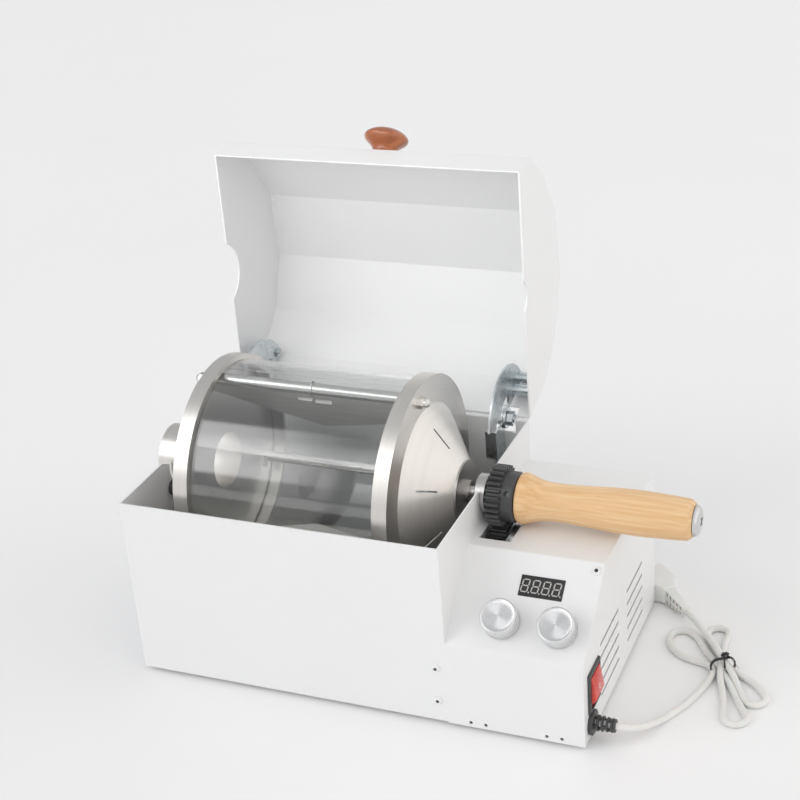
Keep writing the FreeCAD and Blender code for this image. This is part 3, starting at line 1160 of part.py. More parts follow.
def tie_ring(wall):
    """Solid box round the hank's waist, or the hollow of the tie if wall is its thickness."""
    start, end, half_width = HANK_WAIST
    a, b = plan_point(start), plan_point(end)
    half = TIE_WIDTH / 2
    wide = half_width + TIE_WALL - wall
    ring = block((-half, -wide, CORD_CLEAR + wall), (half, wide, CORD_CLEAR + HANK_HEIGHT + TIE_WALL - wall))
    ring.rotate(Vector(0, 0, 0), Vector(0, 0, 1), math.degrees(math.atan2(b.y - a.y, b.x - a.x)))
    ring.translate((a + b) * 0.5)
    return ring


def cord_tie():
    return tie_ring(0.0).cut(tie_ring(TIE_WALL))


def cord_hank():
    """Outer shape of the gathered loops; flat faces meet the loose cord and the plug."""
    loops = [plan_bar(start, end, half, LOOP_HEIGHT, True) for start, end, half in HANK_LOOPS]
    start, end, half = HANK_WAIST
    middle = ((start[0] + end[0]) / 2, (start[1] + end[1]) / 2)
    waist = plan_bar(start, end, half, HANK_HEIGHT, True)
    before, last = CORD_ROUTE[-2:]
    beyond = (2 * last[0] - before[0], 2 * last[1] - before[1])
    lead = plan_bar(last, beyond, CORD_RADIUS + 1, LOOP_HEIGHT, False)
    lead_space = plan_bar(before, last, CORD_RADIUS + 1, HANK_HEIGHT, False)
    to_plug = plan_bar(PLUG_PLACE, middle, CORD_RADIUS + 2, LOOP_HEIGHT, False)
    hank = fuse(loops + [waist, lead, to_plug])
    return cut(hank, [cord_tie(), lead_space, power_plug()])


def power_plug():
    """Two-pin plug with a ribbed, tapering neck, on its edge at the hank's far end."""
    rib = PLUG_NECK / PLUG_RIBS
    thin = CORD_RADIUS + PLUG_NECK_WALL
    profile = [(0, 0)]
    for i in range(PLUG_RIBS):
        radius = thin + (PLUG_NECK_RADIUS - thin) * (i + 1) / PLUG_RIBS
        groove = radius - PLUG_RIB_DEPTH
        profile += [(rib * i, radius), (rib * (i + 0.6), radius), (rib * (i + 0.6), groove),
                    (rib * (i + 1), groove)]
    profile.append((PLUG_NECK, 0))
    neck = turned(profile, 0, PLUG_AXIS_Z)
    x1, half = PLUG_NECK + PLUG_LENGTH, PLUG_WIDTH / 2
    body = block((PLUG_NECK, -half, CORD_CLEAR), (x1, half, CORD_CLEAR + PLUG_HEIGHT))
    body = body.makeChamfer(PLUG_EDGE, [e for e in body.Edges if e.CenterOfMass.x < PLUG_NECK + 1])
    body = body.makeFillet(PLUG_EDGE, [e for e in body.Edges if e.Length > PLUG_LENGTH * 0.8])
    pins = [rod_x(PIN_RADIUS, x1, x1 + PIN_LENGTH, 0, CORD_CLEAR + PLUG_HEIGHT / 2 + side * PIN_SPREAD / 2)
            for side in (-1, 1)]
    plug = fuse([neck, body] + pins)
    plug.rotate(Vector(0, 0, 0), Vector(0, 0, 1), PLUG_ANGLE)
    plug.translate(plan_point(PLUG_PLACE))
    return plug


# ---- assembly ----
def build():
    for maker in (body_wrap, left_end_plate, right_end_plate, case_screws, rubber_feet, reflector_tray,
                  heater_tubes, heater_holders, roller_pins, left_flange, right_flange, glass_cylinder,
                  drum_cone, hub_plate, tie_rods, rod_sleeves, acorn_nuts, stirring_vanes, filler_tube,
                  drum_shaft, drum_gear, gear_collar, set_screw, drive_pinion, motor_shaft, shaft_bearing,
                  wooden_handle, handle_bush, shaft_nut, handle_end_cap, control_cover, control_base,
                  display_module, display_board, rocker_housing, rocker_button, gear_motor, motor_bracket,
                  control_board, lid_shell, lid_stays, stay_bolts, hinge_brackets, pivot_bolts, lid_knob,
                  knob_screw, strain_relief, power_cord, cord_hank, cord_tie, power_plug):
        parts[maker.__name__] = maker()
    parts["front_roller"], parts["rear_roller"] = [cradle_roller(angle) for angle in ROLLER_ANGLES]
    for side, x in zip(("left", "right"), KNOB_X):
        parts[side + "_knob"] = control_knob(x)
        parts[side + "_knob_shaft"] = pot_shaft(x)
    parts["potentiometers"] = group([potentiometer(x) for x in KNOB_X])
    parts["lid_left_end"] = lid_end(0.0, FILLER_RADIUS + FILLER_NOTCH_GAP)
    parts["lid_right_end"] = lid_end(BODY_LENGTH - SHEET, BEARING_RADIUS + BEARING_NOTCH_GAP)


def footprint_middle():
    """Middle of the whole roaster's bounds, without its cord, at the level of the feet."""
    bounds = FreeCAD.BoundBox()
    for name, shape in parts.items():
        if name not in CORD_NODES:
            bounds.add(shape.optimalBoundingBox(False))
    return Vector(bounds.Center.x, bounds.Center.y, bounds.ZMin)


build()
ORIGIN = footprint_middle()
os.makedirs("parts", exist_ok=True)
for name, shape in parts.items():
    placed = shape.copy()
    placed.translate(ORIGIN * -1)
    placed.exportStep("parts/" + name + ".step")
print("origin", ORIGIN, "nodes", len(parts))
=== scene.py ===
import bpy
import bmesh
import json
import math
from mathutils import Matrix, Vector

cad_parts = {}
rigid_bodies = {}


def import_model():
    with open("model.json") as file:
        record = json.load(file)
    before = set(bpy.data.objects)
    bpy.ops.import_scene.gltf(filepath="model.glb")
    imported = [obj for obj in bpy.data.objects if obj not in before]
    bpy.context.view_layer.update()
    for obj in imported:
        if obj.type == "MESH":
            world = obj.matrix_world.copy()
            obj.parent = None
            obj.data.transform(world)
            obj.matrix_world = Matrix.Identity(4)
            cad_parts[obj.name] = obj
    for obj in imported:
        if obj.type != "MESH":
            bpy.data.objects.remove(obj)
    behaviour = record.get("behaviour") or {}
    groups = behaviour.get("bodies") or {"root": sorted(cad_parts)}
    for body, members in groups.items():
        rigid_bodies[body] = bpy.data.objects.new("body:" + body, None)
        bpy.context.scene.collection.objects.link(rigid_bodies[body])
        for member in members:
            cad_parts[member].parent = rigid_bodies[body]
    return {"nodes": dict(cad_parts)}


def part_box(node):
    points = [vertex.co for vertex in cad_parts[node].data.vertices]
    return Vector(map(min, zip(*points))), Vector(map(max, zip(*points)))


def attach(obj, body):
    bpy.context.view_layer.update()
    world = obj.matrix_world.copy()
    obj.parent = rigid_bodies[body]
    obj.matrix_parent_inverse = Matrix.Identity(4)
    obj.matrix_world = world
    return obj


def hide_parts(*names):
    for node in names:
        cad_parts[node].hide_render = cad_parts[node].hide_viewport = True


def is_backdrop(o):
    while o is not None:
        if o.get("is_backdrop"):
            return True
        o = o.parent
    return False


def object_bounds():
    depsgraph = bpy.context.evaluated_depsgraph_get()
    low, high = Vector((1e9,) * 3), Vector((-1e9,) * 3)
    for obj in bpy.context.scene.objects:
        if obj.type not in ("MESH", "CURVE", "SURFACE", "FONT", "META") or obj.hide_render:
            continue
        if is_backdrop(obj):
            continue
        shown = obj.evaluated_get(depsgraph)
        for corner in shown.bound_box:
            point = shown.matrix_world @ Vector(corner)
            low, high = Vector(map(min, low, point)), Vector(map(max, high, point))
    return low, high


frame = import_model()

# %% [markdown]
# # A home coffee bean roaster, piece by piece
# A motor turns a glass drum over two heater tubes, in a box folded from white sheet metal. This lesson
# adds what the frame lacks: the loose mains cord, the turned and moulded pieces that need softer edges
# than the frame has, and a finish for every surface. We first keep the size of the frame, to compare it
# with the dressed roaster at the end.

nodes = frame["nodes"]
cad_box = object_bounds()
millimetre = 0.001
sheet = 1.2                                 # thickness of the folded steel, in millimetres
wrap_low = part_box("body_wrap")[0]
box_corner = Vector((wrap_low.x - sheet * millimetre, wrap_low.y, wrap_low.z))
print("nodes:", len(nodes), "box:", [round(v, 4) for corner in cad_box for v in corner])


def from_corner(x, y, z):
    """Place in the room of a point measured from the sheet box's front left lower corner, in millimetres."""
    return box_corner + Vector((x, y, z)) * millimetre


# %% [markdown]
# The camera comes first, because the cord lies on the table and its loops are judged through the lens.
# A 75 mm lens on a 36 mm sensor stands about 1.2 m from the roaster, a little to its right and above it.
# We set it once with a place and three angles and leave depth of field off.

# %% Camera
camera_place = from_corner(605.6, -857.8, 699.3)
camera_turn = [math.radians(angle) for angle in (64.0965, 4.2119, 22.0340)]
bpy.ops.object.camera_add(location=camera_place, rotation=camera_turn)
camera = bpy.context.object
camera.name = "product_camera"
camera.data.lens = 75.117
camera.data.sensor_width = 36
bpy.context.scene.camera = camera
print("camera at", tuple(round(v, 3) for v in camera.location))

# %% [markdown]
# The mains cord is barely 5 mm thick and soft enough to be tied in a bundle of loops for the shop. It is
# one NURBS curve: the first points are the loose lead from the strain relief to the bundle, and the rest
# go round the loops. The loops are easier to place along and across the bundle than in the room, so every
# point after the lead is measured from the middle of the tie: along the bundle towards the front, across
# it to the right, and the height of the cord's middle above the table. A point without a height lies on
# the table. A NURBS curve of order 3 passes through the middle of each leg between two points and rounds
# every corner by itself.

# %% Route of the cord
relief_low, relief_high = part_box("strain_relief")
relief_middle = (relief_low + relief_high) / 2
relief_tip = Vector((relief_high.x, relief_middle.y, relief_middle.z))
cord_radius = 2.4
lying = cord_radius + 0.1                   # height of the cord's middle where it lies on the table
exit_height = relief_tip.z / millimetre
flat = lying - exit_height                  # the same height, from the relief's tip
lead = [(0, 0, 0), (8, 1.5, -1.2), (15, 9.5, -4.6), (20, 21, -9), (26, 33.5, flat), (33, 47, flat),
        (38.5, 61, flat), (43, 77, flat), (45.5, 92, flat + 0.4)]
tie_middle = Vector((48.5, 97.5))           # from the relief's tip
forward, rightward = Vector((0.541, -0.841)), Vector((0.841, 0.541))
left_loop = [(-4.5, -4.8, 3.2), (-11, -8.8), (-17, -15.2), (-25, -20.8), (-35, -23.4), (-43, -22.6),
             (-49, -20), (-54, -15), (-54, -8), (-49, -3), (-42, -1.2), (-33, -1.4), (-23, -1.6),
             (-13, -0.6, 2.6), (-3, 0.2, 3)]
front_loop = [(8, 0.8, 3), (20, 0.4, 2.6), (34, -1.2), (46, -1.8), (53.5, -2.0), (59.3, -3.0), (62.9, -8.0),
              (61.8, -14.1), (56.8, -17.7), (50.6, -17.0), (43, -13.6), (32, -9.4), (19, -6.0, 2.8),
              (8, -3.4, 5.0)]
back_loop = [(-5, 3.6, 6.8), (-15, 8.6, 7.0), (-26, 13.4, 4.8), (-34, 18.4, 2.6), (-39.3, 21.6),
             (-44.8, 22.6), (-49.2, 18.2), (-49.2, 11.8), (-44.8, 7.4), (-38.4, 6.4), (-26, 5.6),
             (-14, 5.2), (-5, 6.4)]
right_loop = [(6, 8.6), (14, 13.2), (24, 17.2), (34, 18.6), (41.6, 18.0), (46, 13.6), (46, 7.4), (41.6, 3.0),
              (35.2, 3.2), (27, 4.2, 2.8), (17, 5.0, 4.2), (6, 4.4, 7.6)]
to_plug = [(-7, 2.6, 11.2), (-19, 3.0, 10.2), (-31, 3.2, 8.8), (-44, 3.0, 7.8), (-57, 2.2, 7.0),
           (-71, 0.4, 6.5)]
bundle = left_loop + front_loop + back_loop + right_loop + to_plug


def on_the_table(along, across, height=lying):
    """Place in the room of a point of the bundle."""
    plan = tie_middle + along * forward + across * rightward
    return relief_tip + Vector((plan.x, plan.y, height - exit_height)) * millimetre


route = [relief_tip + Vector(point) * millimetre for point in lead]
route += [on_the_table(*point) for point in bundle]
print("points on the cord:", len(route))

# %% [markdown]
# The curve gets its thickness from a round bevel, and caps close its ends. It stands for two solids of
# the frame: the loose stretch of cord and the block of tied loops.

# %% Mains cord
cord_data = bpy.data.curves.new("mains_cord", "CURVE")
cord_data.dimensions = "3D"
spline = cord_data.splines.new("NURBS")
spline.points.add(len(route) - 1)
for point, spot in zip(spline.points, route):
    point.co = (*spot, 1)
    point.radius = millimetre
spline.order_u = 3
spline.use_endpoint_u = True
cord_data.resolution_u = 8
cord_data.bevel_depth = cord_radius         # times each point's radius of one millimetre
cord_data.bevel_resolution = 5
cord_data.use_fill_caps = True
mains_cord = bpy.data.objects.new("mains_cord", cord_data)
bpy.context.collection.objects.link(mains_cord)
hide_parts("power_cord", "cord_hank")
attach(mains_cord, "root")
print("cord length:", round(spline.calc_length(), 3), "m")

# %% [markdown]
# Every finish below is a small node tree on one Principled shader. Real surfaces are never even, so a
# finish gets a slow drift of colour, a finer change of gloss or a little relief, and most get all three,
# from noise on Object coordinates: those stay put on the piece when it moves. One helper makes the
# shader and one the noise. Two more let the noise drive a colour or the gloss, and a relief, so a finish
# reads as a short recipe.

# %% Helpers for finishes
def new_finish(name, colour, roughness, metallic=0.0, **sockets):
    """Material with one Principled shader; other sockets are given by their names, _ for a space."""
    material = bpy.data.materials.new(name)
    material.use_nodes = True
    shader = material.node_tree.nodes["Principled BSDF"]
    shader.inputs["Base Color"].default_value = (*colour, 1)
    shader.inputs["Roughness"].default_value = roughness
    shader.inputs["Metallic"].default_value = metallic
    for socket, value in sockets.items():
        shader.inputs[socket.replace("_", " ")].default_value = value
    material.diffuse_color = (*colour, 1)
    return material


def noise(material, scale, stretch=(1, 1, 1), detail=4.0):
    """Factor of a noise on Object coordinates; a larger stretch makes the grain shorter along that axis."""
    tree = material.node_tree
    coordinates = tree.nodes.new("ShaderNodeTexCoord")
    mapping = tree.nodes.new("ShaderNodeMapping")
    mapping.inputs["Scale"].default_value = stretch
    texture = tree.nodes.new("ShaderNodeTexNoise")
    texture.inputs["Scale"].default_value = scale
    texture.inputs["Detail"].default_value = detail
    tree.links.new(coordinates.outputs["Object"], mapping.inputs["Vector"])
    tree.links.new(mapping.outputs["Vector"], texture.inputs["Vector"])
    return texture.outputs["Fac"]


def between(material, factor, low, high, socket):
    """Drive a colour or number socket of the shader between two values."""
    tree = material.node_tree
    ramp = tree.nodes.new("ShaderNodeValToRGB")
    for element, position, value in zip(ramp.color_ramp.elements, (0.3, 0.7), (low, high)):
        element.position = position
        element.color = (value, value, value, 1) if isinstance(value, float) else (*value, 1)
    tree.links.new(factor, ramp.inputs["Fac"])
    tree.links.new(ramp.outputs["Color"], tree.nodes["Principled BSDF"].inputs[socket])


def relief(material, factor, strength, distance):
    """Bump on the shader's normal, on top of one that is already there."""
    tree = material.node_tree
    bump = tree.nodes.new("ShaderNodeBump")
    bump.inputs["Strength"].default_value = strength
    bump.inputs["Distance"].default_value = distance
    tree.links.new(factor, bump.inputs["Height"])
    normal = tree.nodes["Principled BSDF"].inputs["Normal"]
    if normal.is_linked:
        tree.links.new(normal.links[0].from_socket, bump.inputs["Normal"])
    tree.links.new(bump.outputs["Normal"], normal)


def shade(colour, factor):
    """A colour made darker or paler, but no paler than white."""
    return tuple(min(1.0, c * factor) for c in colour)


def dress(material, *names):
    """Give a finish to CAD nodes, in place of the plain one that they came with."""
    for name in names:
        nodes[name].data.materials.clear()
        nodes[name].data.materials.append(material)
    print(material.name, "on", len(names), "nodes")


# %% [markdown]
# The sheet panels are powder coated: a matt, neutral white with the fine orange peel that powder
# leaves when it melts, about half a millimetre from bump to bump. A second, much wider noise tones the
# white by a hair, as the coat's thickness does.

# %% Powder coat
white = (0.84, 0.843, 0.846)
powder_coat = new_finish("powder_coat", white, 0.42, Coat_Weight=0.12, Coat_Roughness=0.3)
between(powder_coat, noise(powder_coat, 9), shade(white, 0.985), white, "Base Color")
between(powder_coat, noise(powder_coat, 60), 0.38, 0.48, "Roughness")
relief(powder_coat, noise(powder_coat, 1900, detail=2), 0.12, 0.00008)
dress(powder_coat, "case_screws", "body_wrap", "left_end_plate", "right_end_plate", "control_cover",
      "control_base", "lid_shell", "lid_left_end", "lid_right_end")

# %% [markdown]
# Steel that was spun or turned has fine rings round its axis, and they spread every highlight across
# them: that is why a cone shows bright fans. The Tangent node gives the direction of the rings round
# the X axis, and the Anisotropic socket spreads the gloss. A noise that is the same all round the axis,
# and changes quickly along it and away from it, draws the rings themselves. The hub plate has the same
# rings on a darker steel.

# %% Turned stainless steel
drum_low, drum_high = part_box("glass_cylinder")
drum_axis = (drum_low + drum_high) / 2


def rings(material, scale):
    """Noise that changes along the drum's axis and with the distance from it only."""
    tree = material.node_tree
    coordinates = tree.nodes.new("ShaderNodeTexCoord")
    to_axis = tree.nodes.new("ShaderNodeVectorMath")
    to_axis.operation = "SUBTRACT"
    to_axis.inputs[1].default_value = (0, drum_axis.y, drum_axis.z)
    parts = tree.nodes.new("ShaderNodeSeparateXYZ")
    across = tree.nodes.new("ShaderNodeCombineXYZ")
    radius = tree.nodes.new("ShaderNodeVectorMath")
    radius.operation = "LENGTH"
    along_and_out = tree.nodes.new("ShaderNodeCombineXYZ")
    texture = tree.nodes.new("ShaderNodeTexNoise")
    texture.inputs["Scale"].default_value = scale
    texture.inputs["Detail"].default_value = 3.0
    link = tree.links.new
    link(coordinates.outputs["Object"], to_axis.inputs[0])
    link(to_axis.outputs["Vector"], parts.inputs["Vector"])
    link(parts.outputs["Y"], across.inputs["Y"])
    link(parts.outputs["Z"], across.inputs["Z"])
    link(across.outputs["Vector"], radius.inputs[0])
    link(parts.outputs["X"], along_and_out.inputs["X"])
    link(radius.outputs["Value"], along_and_out.inputs["Y"])
    link(along_and_out.outputs["Vector"], texture.inputs["Vector"])
    return texture.outputs["Fac"]


def spread_round_axis(material, amount):
    """Spread the gloss across rings that run round the X axis."""
    tangent = material.node_tree.nodes.new("ShaderNodeTangent")
    tangent.direction_type = "RADIAL"
    tangent.axis = "X"
    shader = material.node_tree.nodes["Principled BSDF"]
    shader.inputs["Anisotropic"].default_value = amount
    material.node_tree.links.new(tangent.outputs["Tangent"], shader.inputs["Tangent"])


steel = (0.74, 0.715, 0.685)
turned_steel = new_finish("turned_steel", steel, 0.3, 1.0)
spread_round_axis(turned_steel, 0.35)
between(turned_steel, rings(turned_steel, 260), shade(steel, 0.97), shade(steel, 1.03), "Base Color")
between(turned_steel, rings(turned_steel, 1800), 0.27, 0.33, "Roughness")
relief(turned_steel, rings(turned_steel, 2600), 0.03, 0.00001)
dress(turned_steel, "left_flange", "right_flange", "drum_cone", "filler_tube")

dark_turned_steel = new_finish("dark_turned_steel", (0.50, 0.485, 0.47), 0.34, 1.0)
spread_round_axis(dark_turned_steel, 0.5)
between(dark_turned_steel, rings(dark_turned_steel, 1500), 0.27, 0.38, "Roughness")
relief(dark_turned_steel, rings(dark_turned_steel, 3000), 0.08, 0.00003)
dress(dark_turned_steel, "hub_plate")

# %% [markdown]
# The other steel pieces are bars, plates and small bought parts. Drawn bars carry fine lines along their
# length, rolled plate has a soft satin grain, and the bearing and the motor's can are duller and show no
# direction. The same recipe with another stretch makes each of them.

# %% Plain steels
drawn_steel = new_finish("drawn_steel", (0.68, 0.67, 0.65), 0.2, 1.0)
between(drawn_steel, noise(drawn_steel, 300, (0.05, 4, 4)), 0.14, 0.26, "Roughness")
relief(drawn_steel, noise(drawn_steel, 900, (0.03, 3, 3)), 0.05, 0.00003)
dress(drawn_steel, "tie_rods", "rod_sleeves", "drum_shaft", "acorn_nuts", "shaft_nut", "motor_shaft",
      "roller_pins")

satin = (0.52, 0.505, 0.48)
satin_steel = new_finish("satin_steel", satin, 0.36, 1.0)
between(satin_steel, noise(satin_steel, 240, (0.08, 3, 3)), shade(satin, 0.9), shade(satin, 1.08),
        "Base Color")
between(satin_steel, noise(satin_steel, 500, (0.06, 4, 4)), 0.3, 0.44, "Roughness")
relief(satin_steel, noise(satin_steel, 1400, (0.03, 3, 3)), 0.06, 0.00003)
dress(satin_steel, "stirring_vanes", "reflector_tray")

ground_steel = new_finish("ground_steel", (0.55, 0.54, 0.53), 0.34, 1.0)
between(ground_steel, noise(ground_steel, 260), 0.28, 0.42, "Roughness")
relief(ground_steel, noise(ground_steel, 1500), 0.05, 0.00003)
dress(ground_steel, "shaft_bearing", "gear_motor")

# %% [markdown]
# The lid's stays, their bolts and brackets are zinc plated. Zinc has a faint blue cast and grows in
# crystals, which a Voronoi cell pattern of very low contrast draws. A noise on the gloss makes the
# coating cloudy.

# %% Zinc plating
zinc = (0.64, 0.68, 0.70)
zinc_plating = new_finish("zinc_plating", zinc, 0.3, 1.0)
cells = zinc_plating.node_tree.nodes.new("ShaderNodeTexVoronoi")
cells.inputs["Scale"].default_value = 220
cell_places = zinc_plating.node_tree.nodes.new("ShaderNodeTexCoord")
zinc_plating.node_tree.links.new(cell_places.outputs["Object"], cells.inputs["Vector"])
between(zinc_plating, cells.outputs["Distance"], shade(zinc, 0.92), shade(zinc, 1.05), "Base Color")
between(zinc_plating, noise(zinc_plating, 130), 0.2, 0.42, "Roughness")
relief(zinc_plating, noise(zinc_plating, 800), 0.08, 0.00005)
dress(zinc_plating, "lid_stays", "stay_bolts", "hinge_brackets", "pivot_bolts", "set_screw", "knob_screw",
      "motor_bracket")

# %% [markdown]
# The glass cylinder is clear borosilicate. A full transmission shader with the index of glass bends and
# mirrors light by itself, and a clear coat makes its mirror of the window stronger. A trace of
# roughness, strongest in a few wide patches, stands for the haze that roasting leaves on it.

# %% Glass
drum_glass = new_finish("drum_glass", (0.97, 0.985, 0.985), 0.02, Transmission_Weight=1.0, IOR=1.52,
                        Coat_Weight=0.8, Coat_Roughness=0.04, Coat_IOR=1.5)
between(drum_glass, noise(drum_glass, 14), 0.0, 0.06, "Roughness")
relief(drum_glass, noise(drum_glass, 25, detail=1), 0.03, 0.0002)
dress(drum_glass, "glass_cylinder")

# %% [markdown]
# Gears, collar, rollers and housings are moulded in black nylon, which has a dull, slightly uneven skin
# with a fine spark-eroded texture.

# %% Black nylon
black_nylon = new_finish("black_nylon", (0.055, 0.056, 0.057), 0.34)
between(black_nylon, noise(black_nylon, 80), (0.046, 0.047, 0.048), (0.066, 0.067, 0.068), "Base Color")
between(black_nylon, noise(black_nylon, 300), 0.3, 0.46, "Roughness")
relief(black_nylon, noise(black_nylon, 2600), 0.1, 0.00004)
dress(black_nylon, "drum_gear", "gear_collar", "drive_pinion", "front_roller", "rear_roller",
      "rocker_housing", "potentiometers")

# %% [markdown]
# Heat turns the steel sheaths of the heater tubes brown in patches along their length. Their holders
# are glazed ceramic: an uneven cream colour under a thin glossy coat.

# %% Heaters and their holders
heat_tint = new_finish("heat_tint", (0.36, 0.31, 0.27), 0.38, 1.0)
between(heat_tint, noise(heat_tint, 22, (0.4, 1, 1)), (0.42, 0.38, 0.34), (0.27, 0.22, 0.21), "Base Color")
between(heat_tint, noise(heat_tint, 400, (0.05, 3, 3)), 0.3, 0.46, "Roughness")
dress(heat_tint, "heater_tubes")

glazed_ceramic = new_finish("glazed_ceramic", (0.84, 0.81, 0.74), 0.25, Coat_Weight=0.4)
between(glazed_ceramic, noise(glazed_ceramic, 70), (0.80, 0.77, 0.69), (0.86, 0.83, 0.76), "Base Color")
relief(glazed_ceramic, noise(glazed_ceramic, 500), 0.08, 0.0001)
dress(glazed_ceramic, "heater_holders")

# %% [markdown]
# The circuit boards, the rubber feet and the brass of the knobs' shafts and the handle's bush are mostly
# hidden, but each gets its own finish.

# %% Boards, feet and brass
solder_mask = new_finish("solder_mask", (0.03, 0.16, 0.07), 0.35)
between(solder_mask, noise(solder_mask, 220), (0.025, 0.13, 0.06), (0.04, 0.19, 0.09), "Base Color")
relief(solder_mask, noise(solder_mask, 900, detail=1), 0.2, 0.0001)
dress(solder_mask, "control_board", "display_board")

foot_rubber = new_finish("foot_rubber", (0.55, 0.55, 0.54), 0.75)
between(foot_rubber, noise(foot_rubber, 150), (0.50, 0.50, 0.49), (0.60, 0.60, 0.59), "Base Color")
relief(foot_rubber, noise(foot_rubber, 1500), 0.2, 0.0001)
dress(foot_rubber, "rubber_feet")

turned_brass = new_finish("turned_brass", (0.62, 0.45, 0.2), 0.28, 1.0)
between(turned_brass, noise(turned_brass, 250), 0.2, 0.36, "Roughness")
relief(turned_brass, noise(turned_brass, 1800, (1, 0.2, 0.2)), 0.08, 0.00004)
dress(turned_brass, "handle_bush", "left_knob_shaft", "right_knob_shaft")

# %% [markdown]
# The cord's jacket and its plug are moulded in soft white PVC: a satin skin, a little yellower than the
# powder coat, with a fine unevenness and a touch of light passing through.

# %% Soft PVC
soft_pvc = new_finish("soft_pvc", (0.80, 0.80, 0.78), 0.4, Subsurface_Weight=0.15, Subsurface_Scale=0.002)
between(soft_pvc, noise(soft_pvc, 45), (0.76, 0.76, 0.735), (0.83, 0.83, 0.815), "Base Color")
between(soft_pvc, noise(soft_pvc, 260), 0.34, 0.48, "Roughness")
relief(soft_pvc, noise(soft_pvc, 1500), 0.1, 0.00008)
mains_cord.data.materials.append(soft_pvc)
print("finish of the cord:", soft_pvc.name)

# %% [markdown]
# New pieces are modelled as by hand: a primitive, then edit mode. An operator acts on whatever is
# selected, so these helpers clear the selection, enter edit mode and pick faces by their direction and
# edges by their place.

# %% Helpers for selecting and editing
def only(piece):
    """Select one object and nothing else."""
    if bpy.context.object and bpy.context.object.mode != "OBJECT":
        bpy.ops.object.mode_set(mode="OBJECT")
    bpy.ops.object.select_all(action="DESELECT")
    piece.select_set(True)
    bpy.context.view_layer.objects.active = piece


def edit(piece, kind="FACE"):
    """Enter edit mode with nothing selected."""
    only(piece)
    bpy.ops.object.mode_set(mode="EDIT")
    bpy.ops.mesh.select_mode(type=kind)
    bpy.ops.mesh.select_all(action="DESELECT")


def finish_edit():
    """Merge points that coincide, turn all faces outwards and leave edit mode."""
    bpy.ops.mesh.select_mode(type="VERT")
    bpy.ops.mesh.select_all(action="SELECT")
    bpy.ops.mesh.remove_doubles(threshold=1e-6)
    bpy.ops.mesh.normals_make_consistent(inside=False)
    bpy.ops.object.mode_set(mode="OBJECT")


def pick_faces(piece, test):
    """Select the faces whose normal passes a test, and no others."""
    shape = bmesh.from_edit_mesh(piece.data)
    for face in shape.faces:
        face.select_set(bool(test(face.normal)))
    bmesh.update_edit_mesh(piece.data)


def pick_edges(piece, test):
    """Select the edges whose two ends pass a test, and no others."""
    shape = bmesh.from_edit_mesh(piece.data)
    for edge in shape.edges:
        edge.select_set(False)
    for edge in shape.edges:
        if test(edge.verts[0].co, edge.verts[1].co):
            edge.select_set(True)
    bmesh.update_edit_mesh(piece.data)
    return sum(edge.select for edge in shape.edges)


def modify(piece, kind, **settings):
    """Add a modifier, set it and apply it."""
    only(piece)
    modifier = piece.modifiers.new(kind.lower(), kind)
    for name, value in settings.items():
        setattr(modifier, name, value)
    bpy.ops.object.modifier_apply(modifier=modifier.name)


# %% [markdown]
# A turned piece starts as one round face that is extruded station by station and scaled at each, exactly
# as a lathe tool would follow its profile. A square piece starts as a cube of its own size. Holes and
# slots are cut with a second piece, which is removed. These helpers take their sizes in millimetres, as
# all named sizes below are, and a place in the room is in metres.

# %% Helpers for making pieces
along_x = (0, math.radians(90), 0)          # lays a piece that was turned on Z along the room's X axis


def facing(direction):
    """Angles that turn the Z axis of a piece into a direction."""
    return direction.to_track_quat("Z", "Y").to_euler()


def place(piece, location, rotation=(0, 0, 0)):
    """Turn and move a piece that was modelled at the origin, then write its place into its mesh."""
    only(piece)
    piece.rotation_euler = rotation
    piece.location = location
    bpy.ops.object.transform_apply(location=True, rotation=True, scale=True)


def extrude(x, y, z):
    """Extrude the selection by an offset."""
    offset = (x * millimetre, y * millimetre, z * millimetre)
    bpy.ops.mesh.extrude_region_move(TRANSFORM_OT_translate={"value": offset})


def turned(name, stations, sides=64):
    """Turned solid on the Z axis from (height, radius) stations."""
    height, radius = stations[0]
    bpy.ops.mesh.primitive_circle_add(vertices=sides, radius=radius * millimetre, fill_type="NGON",
                                      location=(0, 0, height * millimetre))
    piece = bpy.context.object
    piece.name = name
    bpy.ops.object.transform_apply(location=True)
    edit(piece)
    bpy.ops.mesh.select_all(action="SELECT")
    for (z0, r0), (z1, r1) in zip(stations, stations[1:]):
        extrude(0, 0, z1 - z0)
        ratio = r1 / r0
        bpy.ops.transform.resize(value=(ratio, ratio, 1), center_override=(0, 0, z1 * millimetre))
    finish_edit()
    return piece


def block(name, size, middle=(0, 0, 0)):
    """Cube, stretched to its size about its middle."""
    bpy.ops.mesh.primitive_cube_add(size=1, location=[m * millimetre for m in middle])
    piece = bpy.context.object
    piece.name = name
    piece.scale = [s * millimetre for s in size]
    bpy.ops.object.transform_apply(location=True, scale=True)
    return piece


def round_edges(piece, width, segments, sharper_than=30):
    """Round every edge that turns by more than an angle in degrees."""
    modify(piece, "BEVEL", width=width * millimetre, segments=segments, limit_method="ANGLE",
           angle_limit=math.radians(sharper_than))


def cut(piece, cutter):
    """Cut the shape of a cutter out of a piece, and remove the cutter."""
    modify(piece, "BOOLEAN", object=cutter, operation="DIFFERENCE", solver="EXACT")
    bpy.data.objects.remove(cutter)


def drill(piece, radius, depth=60, middle=(0, 0, 0), sides=40):
    """Drill a round hole along the Z axis, half its depth to each side of its middle."""
    bpy.ops.mesh.primitive_cylinder_add(vertices=sides, radius=radius * millimetre, depth=depth * millimetre,
                                        location=[m * millimetre for m in middle])
    cut(piece, bpy.context.object)


def joined(name, pieces):
    """Join pieces into the first of them."""
    only(pieces[0])
    for piece in pieces:
        piece.select_set(True)
    bpy.ops.object.join()
    pieces[0].name = name
    return pieces[0]


